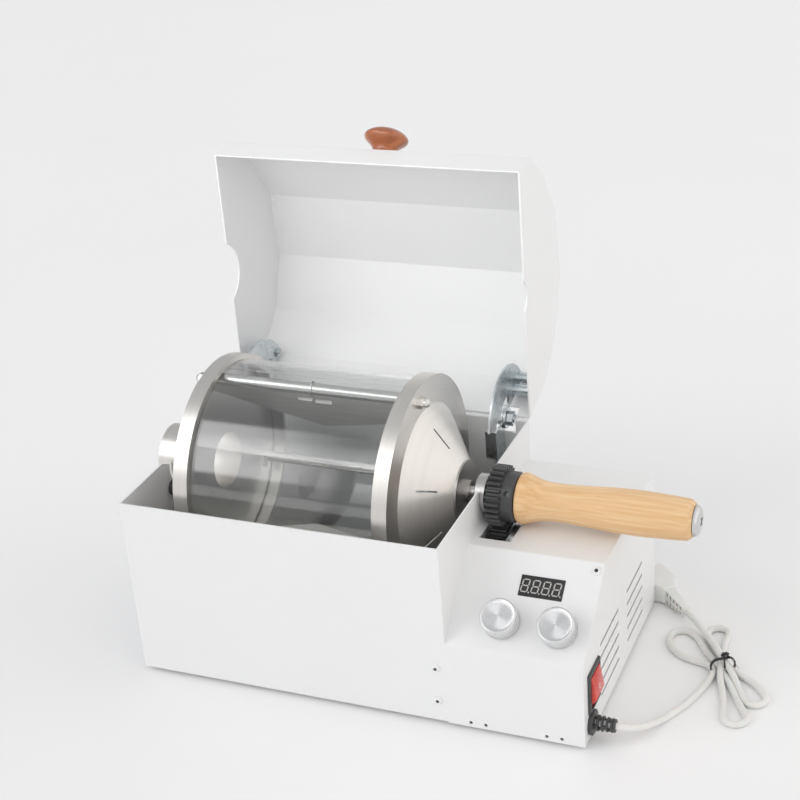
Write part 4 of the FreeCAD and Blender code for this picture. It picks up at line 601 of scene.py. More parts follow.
def finished(piece, material, slot, body, *replaced):
    """Smooth shading, a finish and a body for a piece, and hide the CAD nodes it stands for; the slot is not
    used.
    """
    only(piece)
    bpy.ops.object.shade_smooth_by_angle(angle=math.radians(35))
    piece.data.materials.clear()
    piece.data.materials.append(material)
    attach(piece, body)
    if replaced:
        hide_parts(*replaced)
    print(piece.name, "faces:", len(piece.data.polygons))


# %% [markdown]
# The bundle is held by a black twist tie: a flat ribbon, 2.4 mm wide, that goes once round the strands.
# The band starts as a plane with rounded corners. Its face is deleted, the outline that is left is
# extruded by the ribbon's width, and Solidify gives it a thickness.

# %% Band of the twist tie
band_width, band_height, band_corner = 17.8, 12.6, 5.2
band_shift, band_middle = 1.6, 6.3          # to the right of the bundle's line, and above the table
ribbon_width, ribbon_thickness = 2.4, 0.6
bpy.ops.mesh.primitive_plane_add(size=1, location=(0, 0, 0))
band = bpy.context.object
band.scale = (band_width * millimetre, band_height * millimetre, 1)
bpy.ops.object.transform_apply(scale=True)
edit(band, "VERT")
bpy.ops.mesh.select_all(action="SELECT")
bpy.ops.mesh.bevel(offset=band_corner * millimetre, segments=6, affect="VERTICES")
bpy.ops.mesh.select_mode(type="EDGE")
bpy.ops.mesh.select_all(action="SELECT")
bpy.ops.mesh.delete(type="ONLY_FACE")
bpy.ops.mesh.select_all(action="SELECT")
extrude(0, 0, ribbon_width)
finish_edit()
modify(band, "SOLIDIFY", thickness=ribbon_thickness * millimetre, offset=0)
place(band, (0, 0, 0), (math.radians(90), 0, 0))
place(band, on_the_table(0, band_shift, band_middle), (0, 0, math.atan2(rightward.y, rightward.x)))
print("band of the tie:", band_width, "x", band_height, "mm")

# %% [markdown]
# On top of the band the ribbon is twisted into a knot and leaves two tails. Twisted ribbon looks like a
# thin wire, so each is a small disc that is extruded from point to point.

# %% Knot and tails of the twist tie
knot = on_the_table(-2, 4.4, 13.2)
tail_radius, knot_radius = 0.9, 1.2


def wire(name, radius, points):
    """Thin wire through points that are given from the knot, in millimetres."""
    points = [Vector(point) for point in points]
    bpy.ops.mesh.primitive_circle_add(vertices=8, radius=radius * millimetre, fill_type="NGON",
                                      location=(0, 0, 0))
    piece = bpy.context.object
    piece.name = name
    place(piece, points[0] * millimetre, facing(points[1] - points[0]))
    edit(piece)
    bpy.ops.mesh.select_all(action="SELECT")
    for before, after in zip(points, points[1:]):
        extrude(*(after - before))
    finish_edit()
    place(piece, knot)
    return piece


wires = [wire("long_tail", tail_radius, ((-2.5, -1.5, -0.6), (0, 0, 0.4), (3.5, -2.0, 0.2), (7.5, -5, -1.6),
                                         (11, -7.5, -4.4))),
         wire("short_tail", tail_radius, ((2, 2, -0.4), (0, 0.2, 0.4), (-0.5, -2.5, -0.4), (0.5, -5, -2.2),
                                          (1.6, -8, -5.2))),
         wire("knot", knot_radius, ((-1.6, 1.2, -0.5), (-0.4, -0.6, 0.5), (1.2, 0.4, 0.4), (0.4, 1.8, -0.2)))]
twist_tie = joined("twist_tie", [band] + wires)
tie_ribbon = new_finish("tie_ribbon", (0.02, 0.02, 0.022), 0.38)
between(tie_ribbon, noise(tie_ribbon, 400), 0.3, 0.5, "Roughness")
relief(tie_ribbon, noise(tie_ribbon, 1400), 0.2, 0.0001)
finished(twist_tie, tie_ribbon, "black_plastic", "root", "cord_tie")

# %% [markdown]
# The plug is one soft moulding. Its flat, tapered neck has two rows of windows that let the cord bend.
# The neck starts as a cube whose cord end is drawn in, and each window is cut with a small cube that
# grows along the neck as the neck does. It is modelled along the X axis, with the cord's end at zero.

# %% Neck of the plug
neck_length, neck_width, neck_height = 25.0, 8.6, 14.0
cord_end_width, cord_end_height = 0.74, 0.48          # as parts of the neck's own
window_count, first_window, window_pitch, window_width = 5, 3.4, 4.4, 2.5
plug_neck = block("plug_neck", (neck_length, neck_width, neck_height), (12.2, 0, 0.4))
edit(plug_neck)
pick_faces(plug_neck, lambda normal: normal.x < -0.9)
bpy.ops.transform.resize(value=(1, cord_end_width, cord_end_height), center_override=(0, 0, 0))
finish_edit()
round_edges(plug_neck, 1.0, 3)
for i in range(window_count):
    window_height, window_middle = 2.2 + 0.6 * i, 2.1 + 0.34 * i
    for row in (-1, 1):
        cut(plug_neck, block("window", (window_width, 20, window_height),
                             (first_window + window_pitch * i, 0, row * window_middle)))
print("windows in the neck:", 2 * window_count)

# %% [markdown]
# The plug's body is a cube whose cord end is extruded twice and drawn in each time, so that the hand
# finds a flare to pull at. The face round the pins is inset and pressed in a little.

# %% Body of the plug
body_length, body_width, body_thickness = 22, 21, 16.5
body_front, body_middle = 54, 2.0           # from the cord's end, and above the cord's line
plug_body = block("plug_body", (body_length, body_width, body_thickness),
                  (body_front - body_length / 2, 0, body_middle))
edit(plug_body)
pick_faces(plug_body, lambda normal: normal.x < -0.9)
for length, narrower, lower, middle_height in ((5, 0.66, 0.86, 1.2), (4, 0.8, 0.94, 0.8)):
    extrude(-length, 0, 0)
    bpy.ops.transform.resize(value=(1, narrower, lower), center_override=(0, 0, middle_height * millimetre))
pick_faces(plug_body, lambda normal: normal.x > 0.9)
bpy.ops.mesh.inset(thickness=1.2 * millimetre)
bpy.ops.transform.translate(value=(-0.6 * millimetre, 0, 0))
finish_edit()
round_edges(plug_body, 2.0, 4, sharper_than=50)
print("faces of the plug's body:", len(plug_body.data.polygons))

# %% [markdown]
# Two round pins stand in the face. Each is turned with a rounded tip.

# %% Pins of the plug
pin_radius, pin_length, pin_spacing = 2.0, 19, 12.7
pins = []
for side in (-1, 1):
    pin = turned("plug_pin", [(-1, pin_radius), (pin_length - 2.5, pin_radius), (pin_length - 0.8, 1.6),
                              (pin_length - 0.1, 0.9), (pin_length, 0.1)], 24)
    place(pin, Vector((body_front, side * pin_spacing / 2, body_middle)) * millimetre, along_x)
    pins.append(pin)
mains_plug = joined("mains_plug", [plug_body, plug_neck])
plug_pins = joined("plug_pins", pins)
pin_metal = new_finish("pin_metal", (0.72, 0.70, 0.64), 0.22, 1.0)
between(pin_metal, noise(pin_metal, 300), 0.16, 0.32, "Roughness")
relief(pin_metal, noise(pin_metal, 1600), 0.06, 0.00004)
cord_end, plug_turn = on_the_table(*to_plug[-1]), math.radians(134.4)
for piece in (mains_plug, plug_pins):
    place(piece, cord_end, (0, 0, plug_turn))
finished(mains_plug, soft_pvc, "cord_jacket", "root", "power_plug")
finished(plug_pins, pin_metal, "stainless", "root")

# %% [markdown]
# The handle is beech, and the lid's knob is wood under a red-brown lacquer. Wood grain is a noise
# pulled very long along the trunk: on the turned handle it runs along the grip, with fine short pores
# on top. The lacquer adds a clear coat.

# %% Woods
def streaks(material, first, second):
    """Product of two noises, brought back to the middle of the range."""
    tree = material.node_tree
    product = tree.nodes.new("ShaderNodeMath")
    product.operation = "MULTIPLY_ADD"
    tree.links.new(first, product.inputs[0])
    tree.links.new(second, product.inputs[1])
    product.inputs[2].default_value = 0.24
    return product.outputs["Value"]


beech = new_finish("beech", (0.78, 0.55, 0.30), 0.4, Coat_Weight=0.1, Coat_Roughness=0.3)
beech_grain = streaks(beech, noise(beech, 95, (0.05, 1.5, 1.5), 5), noise(beech, 420, (0.035, 1, 1), 6))
between(beech, beech_grain, (0.66, 0.36, 0.145), (0.90, 0.66, 0.39), "Base Color")
between(beech, noise(beech, 300, (0.1, 2, 2)), 0.34, 0.5, "Roughness")
relief(beech, noise(beech, 900, (0.05, 2, 2)), 0.12, 0.00006)

lacquer = new_finish("lacquer", (0.38, 0.115, 0.037), 0.3, Coat_Weight=0.6, Coat_Roughness=0.08)
between(lacquer, noise(lacquer, 60, (0.3, 2, 2), 6), (0.50, 0.16, 0.05), (0.26, 0.07, 0.024), "Base Color")
relief(lacquer, noise(lacquer, 500, (0.2, 2, 2)), 0.06, 0.00005)
print("woods:", beech.name, "and", lacquer.name)

# %% [markdown]
# The handle is turned from one piece of beech: a flare that stops the hand at the gears, a narrow waist
# and a swelling grip with a chamfered end. A subdivision surface draws the smooth curve between the
# stations, and stations close together keep the end's edge crisp.

# %% Handle
handle_low, handle_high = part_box("wooden_handle")
flare = [(0, 16.2), (0.25, 17.2), (1.6, 18.2), (4.2, 18.2), (8.5, 16.7), (14, 14.6)]
grip = [(20, 13.5), (27, 13.2), (38, 13.6), (52, 14.5), (68, 15.5), (84, 15.9), (100, 15.4), (113, 14.6)]
chamfered_end = [(118.2, 14.25), (118.7, 14.2), (118.9, 14.1), (121.3, 12.1), (121.8, 11.6), (122, 11.3)]
handle = turned("beech_handle", flare + grip + chamfered_end, 40)
modify(handle, "SUBSURF", levels=2, render_levels=2)
place(handle, (handle_low.x, drum_axis.y, drum_axis.z), along_x)
finished(handle, beech, "beech", "handle", "wooden_handle")

# %% [markdown]
# A small domed cap closes the handle's bore. It is turned too, and its cross is cut with one thin bar,
# a second time after a quarter turn.

# %% Handle's end cap
stub_and_rim = [(-3, 6), (0, 6.0), (0.05, 10.2), (0.4, 10.8), (1.5, 10.8), (2.6, 10.2)]
dome = [(3.6, 8.8), (4.2, 6.8), (4.45, 4.5), (4.5, 2.5), (4.5, 0.4)]
end_cap = turned("handle_cap", stub_and_rim + dome, 48)
cross_width, slot_width, slot_depth, cap_height = 7.8, 1.5, 1.7, 4.5
for slot_turn in (20, 110):
    bar = block("slot", (cross_width, slot_width, 2 * slot_depth), (0, 0, cap_height))
    place(bar, (0, 0, 0), (0, 0, math.radians(slot_turn)))
    cut(end_cap, bar)
place(end_cap, (handle_high.x, drum_axis.y, drum_axis.z), along_x)
polished_cap = new_finish("polished_cap", (0.66, 0.66, 0.66), 0.22, 1.0)
between(polished_cap, noise(polished_cap, 300), 0.16, 0.3, "Roughness")
relief(polished_cap, noise(polished_cap, 1500), 0.04, 0.00004)
finished(end_cap, polished_cap, "end_cap_steel", "handle", "handle_end_cap")

# %% [markdown]
# The lid's knob is a turned mushroom on the lid's front slope. It is turned upright at the origin and
# then laid over with the open lid: its axis is the slope's normal, which the lid has turned back by a
# right angle.

# %% Lid knob
knob_low, knob_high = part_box("lid_knob")
lid_slope = math.atan2(26.0, 20.0)                    # rise and run of the shut lid's front slope
knob_tilt = lid_slope - math.radians(90)
knob_axis = Vector((0, -math.sin(knob_tilt), math.cos(knob_tilt)))
foot_to_middle = 11.8                                 # along the axis, to the middle of the CAD node
lid_knob = turned("lid_knob_turned", [(0, 9.6), (0.6, 9.8), (1.8, 8.9), (4.0, 8.5), (7.0, 10.0), (9.8, 13.4),
                                      (12.0, 16.1), (14.0, 17.0), (16.0, 16.5), (18.4, 13.8), (20.3, 9.6),
                                      (21.4, 4.8), (21.9, 1.2)], 40)
modify(lid_knob, "SUBSURF", levels=2, render_levels=2)
place(lid_knob, (knob_low + knob_high) / 2 - knob_axis * foot_to_middle * millimetre, (knob_tilt, 0, 0))
print("lid knob axis", [round(v, 3) for v in knob_axis])
finished(lid_knob, lacquer, "lacquered_wood", "lid", "lid_knob")

# %% [markdown]
# The two control knobs are turned from solid aluminium. The face is cut with a fine spiral, so it
# mirrors light in bright and dark fans that meet at its middle. We give the knob a UV map whose U runs
# round it; the Tangent node reads it, and the anisotropic gloss then follows the cut.

# %% Spun aluminium
aluminium = (0.74, 0.74, 0.75)
spun_aluminium = new_finish("spun_aluminium", aluminium, 0.26, 1.0, Anisotropic=0.88)
turn_node = spun_aluminium.node_tree.nodes.new("ShaderNodeTangent")
turn_node.direction_type = "UV_MAP"
turn_node.uv_map = "round_the_axis"
spun_aluminium.node_tree.links.new(turn_node.outputs["Tangent"],
                                   spun_aluminium.node_tree.nodes["Principled BSDF"].inputs["Tangent"])


def cut_rings(material, pitch):
    """Noise that changes quickly with V of the knob's own map, so it draws rings like a cutter's."""
    tree = material.node_tree
    knob_map = tree.nodes.new("ShaderNodeUVMap")
    knob_map.uv_map = "round_the_axis"
    stretch = tree.nodes.new("ShaderNodeMapping")
    stretch.inputs["Scale"].default_value = (0.4, pitch, 1)
    texture = tree.nodes.new("ShaderNodeTexNoise")
    texture.inputs["Scale"].default_value = 1.0
    tree.links.new(knob_map.outputs["UV"], stretch.inputs["Vector"])
    tree.links.new(stretch.outputs["Vector"], texture.inputs["Vector"])
    return texture.outputs["Fac"]


between(spun_aluminium, cut_rings(spun_aluminium, 60), shade(aluminium, 0.97), shade(aluminium, 1.02),
        "Base Color")
between(spun_aluminium, cut_rings(spun_aluminium, 140), 0.23, 0.29, "Roughness")
print("finish of the knobs:", spun_aluminium.name)

# %% [markdown]
# The map is written corner by corner. A face that crosses the half turn would run backwards round the
# whole knob, so its corners are brought to the same side as its middle.

# %% Map round the knob's axis
def map_round_axis(piece):
    """UV map with U round the Z axis and V outwards and upwards, before the piece is placed."""
    layer = piece.data.uv_layers.new(name="round_the_axis")
    full_turn = 2 * math.pi
    rings_per_metre = 20
    for polygon in piece.data.polygons:
        middle = math.atan2(polygon.center.y, polygon.center.x)
        for loop in polygon.loop_indices:
            point = piece.data.vertices[piece.data.loops[loop].vertex_index].co
            radius = math.hypot(point.x, point.y)
            angle = math.atan2(point.y, point.x) if radius > 1e-6 else middle
            if angle - middle > math.pi:
                angle -= full_turn
            if middle - angle > math.pi:
                angle += full_turn
            layer.data[loop].uv = (angle / full_turn, (radius + point.z) * rings_per_metre)


# %% [markdown]
# Each knob is a plain cylinder with a groove below its rim and a face that is sunk a little. A small
# drilled dot is the pointer. The knobs stand square on the control box's sloping panel.

# %% Control knobs
panel_low, panel_high, panel_run = 64.5, 109.5, 56.5  # heights of the sloping panel's edges, and its run
slope = math.atan2(panel_high - panel_low, panel_run)
slope_out = Vector((0, -math.sin(slope), math.cos(slope)))
knob_side = [(1.2, 11.9), (1.6, 12.4), (2.0, 12.5), (10.9, 12.5), (11.05, 12.2), (11.45, 12.2), (11.6, 12.5),
             (13.2, 12.45), (13.75, 12.1), (14.0, 11.5), (13.95, 11.1), (13.7, 10.7), (13.65, 10.4)]
knob_face = [(13.6, radius) for radius in (8, 5, 2, 0.2)]
panel_to_middle = 7.6                                 # from the panel to the middle of the CAD node
dot_circle, dot_radius = 8.8, 0.8
dot_height, dot_drill = 14.2, 2                       # middle and length of the drill, which ends in the face
for side, dot_angle in (("left", math.radians(128)), ("right", math.radians(-32))):
    low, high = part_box(side + "_knob")
    knob = turned(side + "_control_knob", knob_side + knob_face, 96)
    dot = (dot_circle * math.cos(dot_angle), dot_circle * math.sin(dot_angle), dot_height)
    drill(knob, dot_radius, dot_drill, dot, 20)
    map_round_axis(knob)
    place(knob, (low + high) / 2 - slope_out * panel_to_middle * millimetre, (slope, 0, 0))
    finished(knob, spun_aluminium, "knob_aluminium", side + "_knob", side + "_knob")

# %% [markdown]
# The display is a black block with a smoked face, which is inset and sunk by a quarter of a millimetre.

# %% Display
display_low, display_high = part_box("display_module")
display_width, display_height, display_depth = 30.4, 14.8, 8
display_face = (display_low + display_high) / 2 + slope_out * display_depth / 2 * millimetre
display = block("display_block", (display_width, display_height, display_depth), (0, 0, -display_depth / 2))
edit(display)
pick_faces(display, lambda normal: normal.z > 0.9)
bpy.ops.mesh.inset(thickness=0.5 * millimetre)
bpy.ops.transform.translate(value=(0, 0, -0.25 * millimetre))
finish_edit()
round_edges(display, 0.25, 3)
place(display, display_face, (slope, 0, 0))
smoked_face = new_finish("smoked_face", (0.035, 0.036, 0.037), 0.5, Specular_IOR_Level=0.25)
between(smoked_face, noise(smoked_face, 120), 0.45, 0.6, "Roughness")
relief(smoked_face, noise(smoked_face, 700), 0.04, 0.00005)
finished(display, smoked_face, "display_black", "root", "display_module")

# %% [markdown]
# Four seven-segment digits lie in the face. Every segment is the same long hexagon: a six-sided disc
# whose two halves are pulled apart, turned and placed for all seven strokes. The four digits are copies
# of one, and lean a little, as on every such display. Unlit segments are grey.

# %% Digits
half_high, half_wide = 4.4, 2.25            # of a digit, between the middles of its strokes
stroke_radius, stroke_pull, stroke_thickness = 0.48, 1.45, 0.06
digit_count, digit_pitch, digit_lean = 4, 7.3, 0.11
row_shift = -0.4                            # the row of digits stands a little left, for its last point
strokes = [(0, y, 90) for y in (half_high, 0, -half_high)]
strokes += [(x, y, 0) for y in (half_high / 2, -half_high / 2) for x in (-half_wide, half_wide)]


def stroke(x, y, turn):
    """One segment, which is long along Y before its turn."""
    bpy.ops.mesh.primitive_circle_add(vertices=6, radius=stroke_radius * millimetre, fill_type="NGON",
                                      location=(0, 0, 0))
    piece = bpy.context.object
    edit(piece, "VERT")
    for side in (-1, 1):
        bpy.ops.mesh.select_all(action="DESELECT")
        shape = bmesh.from_edit_mesh(piece.data)
        for point in shape.verts:
            point.select_set(point.co.y * side > 0.05 * millimetre)
        shape.select_flush_mode()
        bmesh.update_edit_mesh(piece.data)
        bpy.ops.transform.translate(value=(0, side * stroke_pull * millimetre, 0))
    bpy.ops.mesh.select_all(action="SELECT")
    extrude(0, 0, stroke_thickness)
    finish_edit()
    place(piece, (x * millimetre, y * millimetre, 0), (0, 0, math.radians(turn)))
    return piece


digit_parts = [stroke(x, y, turn) for x, y, turn in strokes]
point_place = Vector((3.6, -4.6, stroke_thickness / 2)) * millimetre       # of the decimal point
bpy.ops.mesh.primitive_cylinder_add(vertices=12, radius=0.55 * millimetre, location=point_place,
                                    depth=stroke_thickness * millimetre)
digit = joined("digit", digit_parts + [bpy.context.object])
for point in digit.data.vertices:
    point.co.x += digit_lean * point.co.y
digits = []
for i in range(digit_count):
    only(digit)
    bpy.ops.object.duplicate()
    across = (i - (digit_count - 1) / 2) * digit_pitch + row_shift
    place(bpy.context.object, (across * millimetre, 0, 0))
    digits.append(bpy.context.object)
bpy.data.objects.remove(digit)
display_digits = joined("display_digits", digits)
place(display_digits, display_face - slope_out * 0.24 * millimetre, (slope, 0, 0))
unlit_segment = new_finish("unlit_segment", (0.50, 0.48, 0.46), 0.5)
between(unlit_segment, noise(unlit_segment, 500), (0.45, 0.43, 0.41), (0.56, 0.54, 0.52), "Base Color")
relief(unlit_segment, noise(unlit_segment, 2500), 0.1, 0.00003)
finished(display_digits, unlit_segment, "display_black", "root")

# %% [markdown]
# The rocker button is translucent red plastic. Its ridge lies below the middle, so the long upper face
# takes the finger. The button is a cube that is cut in two where the ridge will be; the new edge is
# pulled out into the ridge, and the back is drawn in so that the button can tilt in its frame.

# %% Rocker button
frame_low, frame_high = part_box("rocker_housing")
frame_middle = (frame_low + frame_high) / 2
button_depth, button_width, button_height = 6.0, 19.6, 24.6
pivot_depth, ridge_height, ridge_rise = 3.2, -4.2, 5.2
rocker_pivot = (frame_high.x - pivot_depth * millimetre, frame_middle.y, frame_middle.z)
rocker_turn = (0, math.radians(8), 0)
ridge_z, nearly = ridge_height * millimetre, 1e-5
button = block("rocker_red", (button_depth, button_width, button_height), (-1.2, 0, 0))
edit(button)
bpy.ops.mesh.select_all(action="SELECT")
bpy.ops.mesh.bisect(plane_co=(0, 0, ridge_z), plane_no=(0, 0, 1))
ridge = pick_edges(button, lambda a, b: min(a.x, b.x) > 0 and abs(a.z - ridge_z) < nearly
                   and abs(b.z - ridge_z) < nearly)
bpy.ops.transform.translate(value=(ridge_rise * millimetre, 0, 0))
pick_edges(button, lambda a, b: max(a.x, b.x) < -0.003 and abs(a.z) > 0.01 and abs(a.z - b.z) < nearly)
bpy.ops.transform.resize(value=(1, 1, 0.72), center_override=(0, 0, 0))
finish_edit()
print("ridge edges:", ridge)
round_edges(button, 0.7, 4, sharper_than=20)
place(button, rocker_pivot, rocker_turn)

# %% [markdown]
# A raised ring on the upper face, close to the ridge, marks the off side. It is a small torus that is
# half sunk into the face and leans with it. Both get their finish here.

# %% Ring mark and finishes of the rocker
ring_radius, ring_thickness, face_lean = 1.7, 0.6, 17.5
ring_place = Vector((5.45, 1.2, 0.6)) * millimetre    # from the rocker's pivot
bpy.ops.mesh.primitive_torus_add(major_radius=ring_radius * millimetre, major_segments=32,
                                 minor_radius=ring_thickness / 2 * millimetre, minor_segments=8,
                                 location=ring_place, rotation=(0, math.radians(90 - face_lean), 0))
ring_mark = bpy.context.object
ring_mark.name = "rocker_ring_mark"
bpy.ops.object.transform_apply(location=True, rotation=True)
place(ring_mark, rocker_pivot, rocker_turn)
red_plastic = new_finish("red_plastic", (0.62, 0.035, 0.025), 0.22, Subsurface_Weight=0.2,
                         Subsurface_Scale=0.002, Coat_Weight=0.3)
between(red_plastic, noise(red_plastic, 90), (0.56, 0.03, 0.02), (0.70, 0.05, 0.035), "Base Color")
between(red_plastic, noise(red_plastic, 400), 0.18, 0.3, "Roughness")
relief(red_plastic, noise(red_plastic, 900), 0.05, 0.00005)
finished(button, red_plastic, "red_plastic", "rocker", "rocker_button")
mark_white = new_finish("mark_white", (0.82, 0.62, 0.60), 0.4)
between(mark_white, noise(mark_white, 600), (0.80, 0.55, 0.52), (0.85, 0.68, 0.66), "Base Color")
relief(mark_white, noise(mark_white, 2000), 0.1, 0.00003)
finished(ring_mark, mark_white, "red_plastic", "rocker")

# %% [markdown]
# The front seam is held by two blind rivets that were sprayed white with the box; their pulled stems leave a
# hole in the middle, which lies in shade. The slope has one small black screw in a white washer. The heads
# are part of the frame, so we add only their middles: one short, near-black turned stud each. On the rivets
# the stud is painted shade where the hole is; on the screw it is the screw's own black.

# %% Middles of the rivets and screw
control_left = 240.0                        # where the control box starts, from the sheet box's left side
rivet_heights, rivet_inset = (17.5, 44.0), 7.4
screw_right, screw_up = 91.5, 66            # from the lower left corner of the slope
head_height = 1.8
slope_up = Vector((0, math.cos(slope), math.sin(slope)))
screw_place = (from_corner(control_left + screw_right, 0, panel_low)
               + (slope_up * screw_up + slope_out * head_height) * millimetre)
studs = []
# A near-black stud on each rivet's head is painted shade standing for its hole.
for height in rivet_heights:
    dark_stud = turned("painted_rivet_hole_shade", [(-0.3, 1.2), (0.05, 1.2), (0.2, 1.0)], 20)
    place(dark_stud, from_corner(control_left - rivet_inset, -head_height, height), facing(Vector((0, -1, 0))))
    studs.append(dark_stud)
dark_stud = turned("screw_stem", [(-0.3, 1.3), (0.15, 1.3), (0.4, 1.0)], 20)
place(dark_stud, screw_place, facing(slope_out))
studs.append(dark_stud)
dark_studs = joined("screw_and_painted_hole_shade", studs)
# Near-black steel: the screw's own colour, and painted shade on the rivets' holes.
black_steel_and_painted_hole_shade = new_finish("black_steel_and_painted_hole_shade", (0.06, 0.06, 0.062), 0.35, 0.6)
between(black_steel_and_painted_hole_shade, noise(black_steel_and_painted_hole_shade, 900), 0.28, 0.46, "Roughness")
relief(black_steel_and_painted_hole_shade, noise(black_steel_and_painted_hole_shade, 2400), 0.1, 0.00003)
finished(dark_studs, black_steel_and_painted_hole_shade, "black_plastic", "root")

# %% [markdown]
# The strain relief is moulded in black nylon: a collar against the panel, then five rings that get
# smaller towards the cord and are held together by pairs of webs, turned a quarter from gap to gap. The
# white cord shows through the gaps, so a short stretch of it runs down the middle.

# %% Strain relief
relief_length, bore_radius = 17.0, cord_radius + 0.6
relief_place = Vector((relief_tip.x - relief_length * millimetre, relief_tip.y, relief_tip.z))
first_ring, ring_pitch, largest_ring, ring_taper = 3.3, 3.2, 5.6, 0.24
ring_starts = [first_ring + ring_pitch * i for i in range(5)]
ring_starts[-1] -= ring_pitch / 2           # the last ring closes up to the one before it
web_size, web_circle = (1.6, 2.2, 2.4), 4.0
collar = turned("relief_collar", [(-5, 5.4), (0, 5.4), (0.01, 8.6), (0.5, 9.0), (2.4, 9.0), (3.0, 8.2),
                                  (3.3, 5.2)], 48)
drill(collar, bore_radius)
relief_parts = [collar]
for i, start in enumerate(ring_starts):
    outer = largest_ring - ring_taper * i
    ring = turned("relief_ring", [(start + 1.3, outer - 0.3), (start + 1.5, outer), (start + 2.6, outer),
                                  (start + 2.8, outer - 0.3)], 48)
    drill(ring, bore_radius)
    relief_parts.append(ring)
    for side in (-90, 90):
        web = block("web", web_size)
        angle = math.radians(90 * (i % 2) + side)
        web_place = Vector((web_circle * math.cos(angle), web_circle * math.sin(angle), start + 0.6))
        place(web, web_place * millimetre, (0, 0, angle))
        relief_parts.append(web)
strain_relief = joined("relief_collar", relief_parts)
place(strain_relief, relief_place, along_x)
finished(strain_relief, black_nylon, "black_plastic", "root", "strain_relief")
core = turned("cord_in_relief", [(-4, cord_radius), (relief_length, cord_radius)], 40)
place(core, relief_place, along_x)
finished(core, soft_pvc, "cord_jacket", "root")

# %% [markdown]
# Three tie rods run through spacer sleeves, and each sleeve is made of two halves. Where they meet there
# is a narrow ring, and the sheet of each half ends in a folded tab that points to the drum's axis.

# %% Rings and tabs on the tie rods
rod_circle, rod_count, first_rod = 69.0, 3, 95.0
sleeve_radius, tab_thickness, tab_lean = 4.0, 0.8, 24
sleeve_parts = []
for i in range(rod_count):
    angle = math.radians(first_rod + 360 / rod_count * i)
    outwards = Vector((0, math.cos(angle), math.sin(angle)))
    rod = drum_axis + outwards * rod_circle * millimetre
    ring = turned("sleeve_ring", [(-0.9, 4.1), (-0.6, 5.0), (0.6, 5.0), (0.9, 4.1)], 32)
    drill(ring, sleeve_radius - 0.1)
    place(ring, rod, along_x)
    sleeve_parts.append(ring)
    for start, width, drop in ((-12.5, 11.5, 5.4), (1.0, 13.0, 6.2)):
        tab = block("tab", (width, tab_thickness, drop))
        round_edges(tab, 0.3, 2)
        along = Vector((start + width / 2, 0, 0))
        place(tab, rod + (along - outwards * (sleeve_radius + drop / 2)) * millimetre,
              (angle + math.radians(90 - tab_lean), 0, 0))
        sleeve_parts.append(tab)
finished(joined("sleeve_rings_and_tabs", sleeve_parts), drawn_steel, "stainless", "drum")

# %% [markdown]
# Two blind rivets, coated white with the lid, hold its left end plate. Their heads face the front, turned
# a little to the right.

# %% Rivets of the lid
lid_rivets = []
for spot in ((4.8, 272.4, 267.4), (3.6, 276.6, 215.7)):
    rivet = turned("lid_rivet", [(-1.2, 1.7), (0, 1.7), (0.5, 1.4), (0.8, 0.5)], 20)
    place(rivet, from_corner(*spot), facing(Vector((0.35, -0.93, 0))))
    lid_rivets.append(rivet)
finished(joined("lid_rivets", lid_rivets), powder_coat, "white_coat", "lid")

# %% [markdown]
# The table is one plain pale plane that runs on behind the roaster, and it keeps the roaster's soft
# shadow.

# %% Table
bpy.ops.mesh.primitive_plane_add(size=14, location=(0, 0, 0))
table = bpy.context.object
table.name = "table"
table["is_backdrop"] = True
table_paint = new_finish("table_paint", (0.94, 0.94, 0.945), 0.6)
between(table_paint, noise(table_paint, 2), (0.93, 0.93, 0.935), (0.95, 0.95, 0.955), "Base Color")
table.data.materials.append(table_paint)
print("table:", round(table.dimensions.x), "m wide")

# %% [markdown]
# Nearly all light comes from the world, as in a white room with one large soft window at the front left.
# A direction in the world is split in two measures: how far it looks sideways, and its height, which is
# its turn about the room's X axis up from the horizon in front. Smooth steps of both cut the window out.

# %% Directions of the room's light
world = bpy.data.worlds.new("studio")
bpy.context.scene.world = world
world.use_nodes = True
tree = world.node_tree
link = tree.links.new


def step_between(value, start, end):
    """Smooth step from 0 at start to 1 at end."""
    step = tree.nodes.new("ShaderNodeMapRange")
    step.interpolation_type = "SMOOTHSTEP"
    step.inputs["From Min"].default_value = start
    step.inputs["From Max"].default_value = end
    link(value, step.inputs["Value"])
    return step.outputs["Result"]


def maths(operation, *values):
    """Math node on numbers and outputs of other nodes."""
    node = tree.nodes.new("ShaderNodeMath")
    node.operation = operation
    for socket, value in zip(node.inputs, values):
        if isinstance(value, (int, float)):
            socket.default_value = value
        else:
            link(value, socket)
    return node.outputs["Value"]


direction = tree.nodes.new("ShaderNodeTexCoord")
split = tree.nodes.new("ShaderNodeSeparateXYZ")
link(direction.outputs["Generated"], split.inputs["Vector"])
sideways = split.outputs["X"]
height_turn = maths("ARCTAN2", split.outputs["Z"], maths("MULTIPLY", split.outputs["Y"], -1))


def height_step(start, end):
    """Smooth step of the height, between two angles in degrees."""
    return step_between(height_turn, math.radians(start), math.radians(end))


# %% [markdown]
# The window reaches from 14 to 71 degrees of height. Its light makes the soft shadows, the bright band on
# the glass and the fans on turned metal. The wall at the right is about twice as bright as the one at the
# left and a little warmer, and a faint glow lies low along the front. The camera itself sees an even pale
# grey.

# %% Light of the room
window_strength, glow_strength = 2.0, 0.05
window = maths("MULTIPLY", height_step(11, 17), height_step(74, 68))
window = maths("MULTIPLY", window, step_between(sideways, -0.38, -0.46))
window = maths("MULTIPLY", window, step_between(sideways, -0.90, -0.82))
glow = maths("MULTIPLY", height_step(-20, -5), height_step(48, 32))

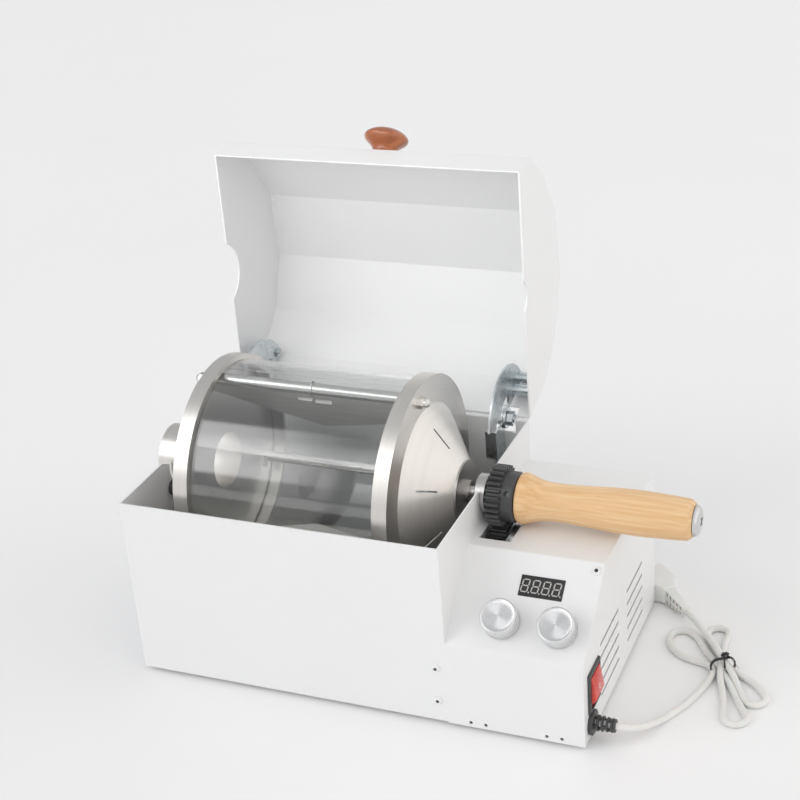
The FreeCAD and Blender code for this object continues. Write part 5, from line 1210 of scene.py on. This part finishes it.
walls = tree.nodes.new("ShaderNodeValToRGB")
left_wall, right_wall = walls.color_ramp.elements
left_wall.position = 0.25
left_wall.color = (0.50, 0.51, 0.52, 1)
right_wall.position = 0.9
right_wall.color = (1.18, 1.16, 1.14, 1)
link(maths("MULTIPLY_ADD", sideways, 0.5, 0.5), walls.inputs["Fac"])
wall_light = tree.nodes["Background"]
link(walls.outputs["Color"], wall_light.inputs["Color"])

window_light = tree.nodes.new("ShaderNodeBackground")
window_light.inputs["Color"].default_value = (1, 1, 1, 1)
link(maths("ADD", maths("MULTIPLY", window, window_strength), maths("MULTIPLY", glow, glow_strength)),
     window_light.inputs["Strength"])
both = tree.nodes.new("ShaderNodeAddShader")
link(wall_light.outputs["Background"], both.inputs[0])
link(window_light.outputs["Background"], both.inputs[1])

seen_light = tree.nodes.new("ShaderNodeBackground")
seen_light.inputs["Color"].default_value = (0.86, 0.86, 0.865, 1)
seen = tree.nodes.new("ShaderNodeMixShader")
link(tree.nodes.new("ShaderNodeLightPath").outputs["Is Camera Ray"], seen.inputs["Fac"])
link(both.outputs["Shader"], seen.inputs[1])
link(seen_light.outputs["Background"], seen.inputs[2])
link(seen.outputs["Shader"], tree.nodes["World Output"].inputs["Surface"])
print("nodes of the world:", len(tree.nodes))

# %% [markdown]
# One broad lamp above the front edge looks into the open lid, whose white inside would be dull without
# it. Its light is held to a cone of 84 degrees, so that most of it falls into the lid.

# %% Lamp for the lid
lamp_place, lid_middle = from_corner(70, -120, 430), from_corner(125, 275, 270)
bpy.ops.object.light_add(type="AREA", location=lamp_place)
lid_lamp = bpy.context.object
lid_lamp.name = "lid_lamp"
lid_lamp.data.shape = "RECTANGLE"
lid_lamp.data.size = 0.42
lid_lamp.data.size_y = 0.22
lid_lamp.data.energy = 0.16
lid_lamp.data.spread = math.radians(84)
lid_lamp.visible_camera = False
towards_lid = lid_middle - lamp_place
lid_lamp.rotation_euler = towards_lid.to_track_quat("-Z", "Y").to_euler()
bpy.context.scene.view_settings.view_transform = "Standard"
print("lamp is", round(towards_lid.length, 2), "m from the lid")

# %% [markdown]
# Last, we compare the dressed roaster with the frame that we started from.

# %% Check the size
dressed_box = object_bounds()
for before, after in zip(cad_box, dressed_box):
    print("corner moved by", [round((b - a) * 1000, 2) for a, b in zip(before, after)], "mm")
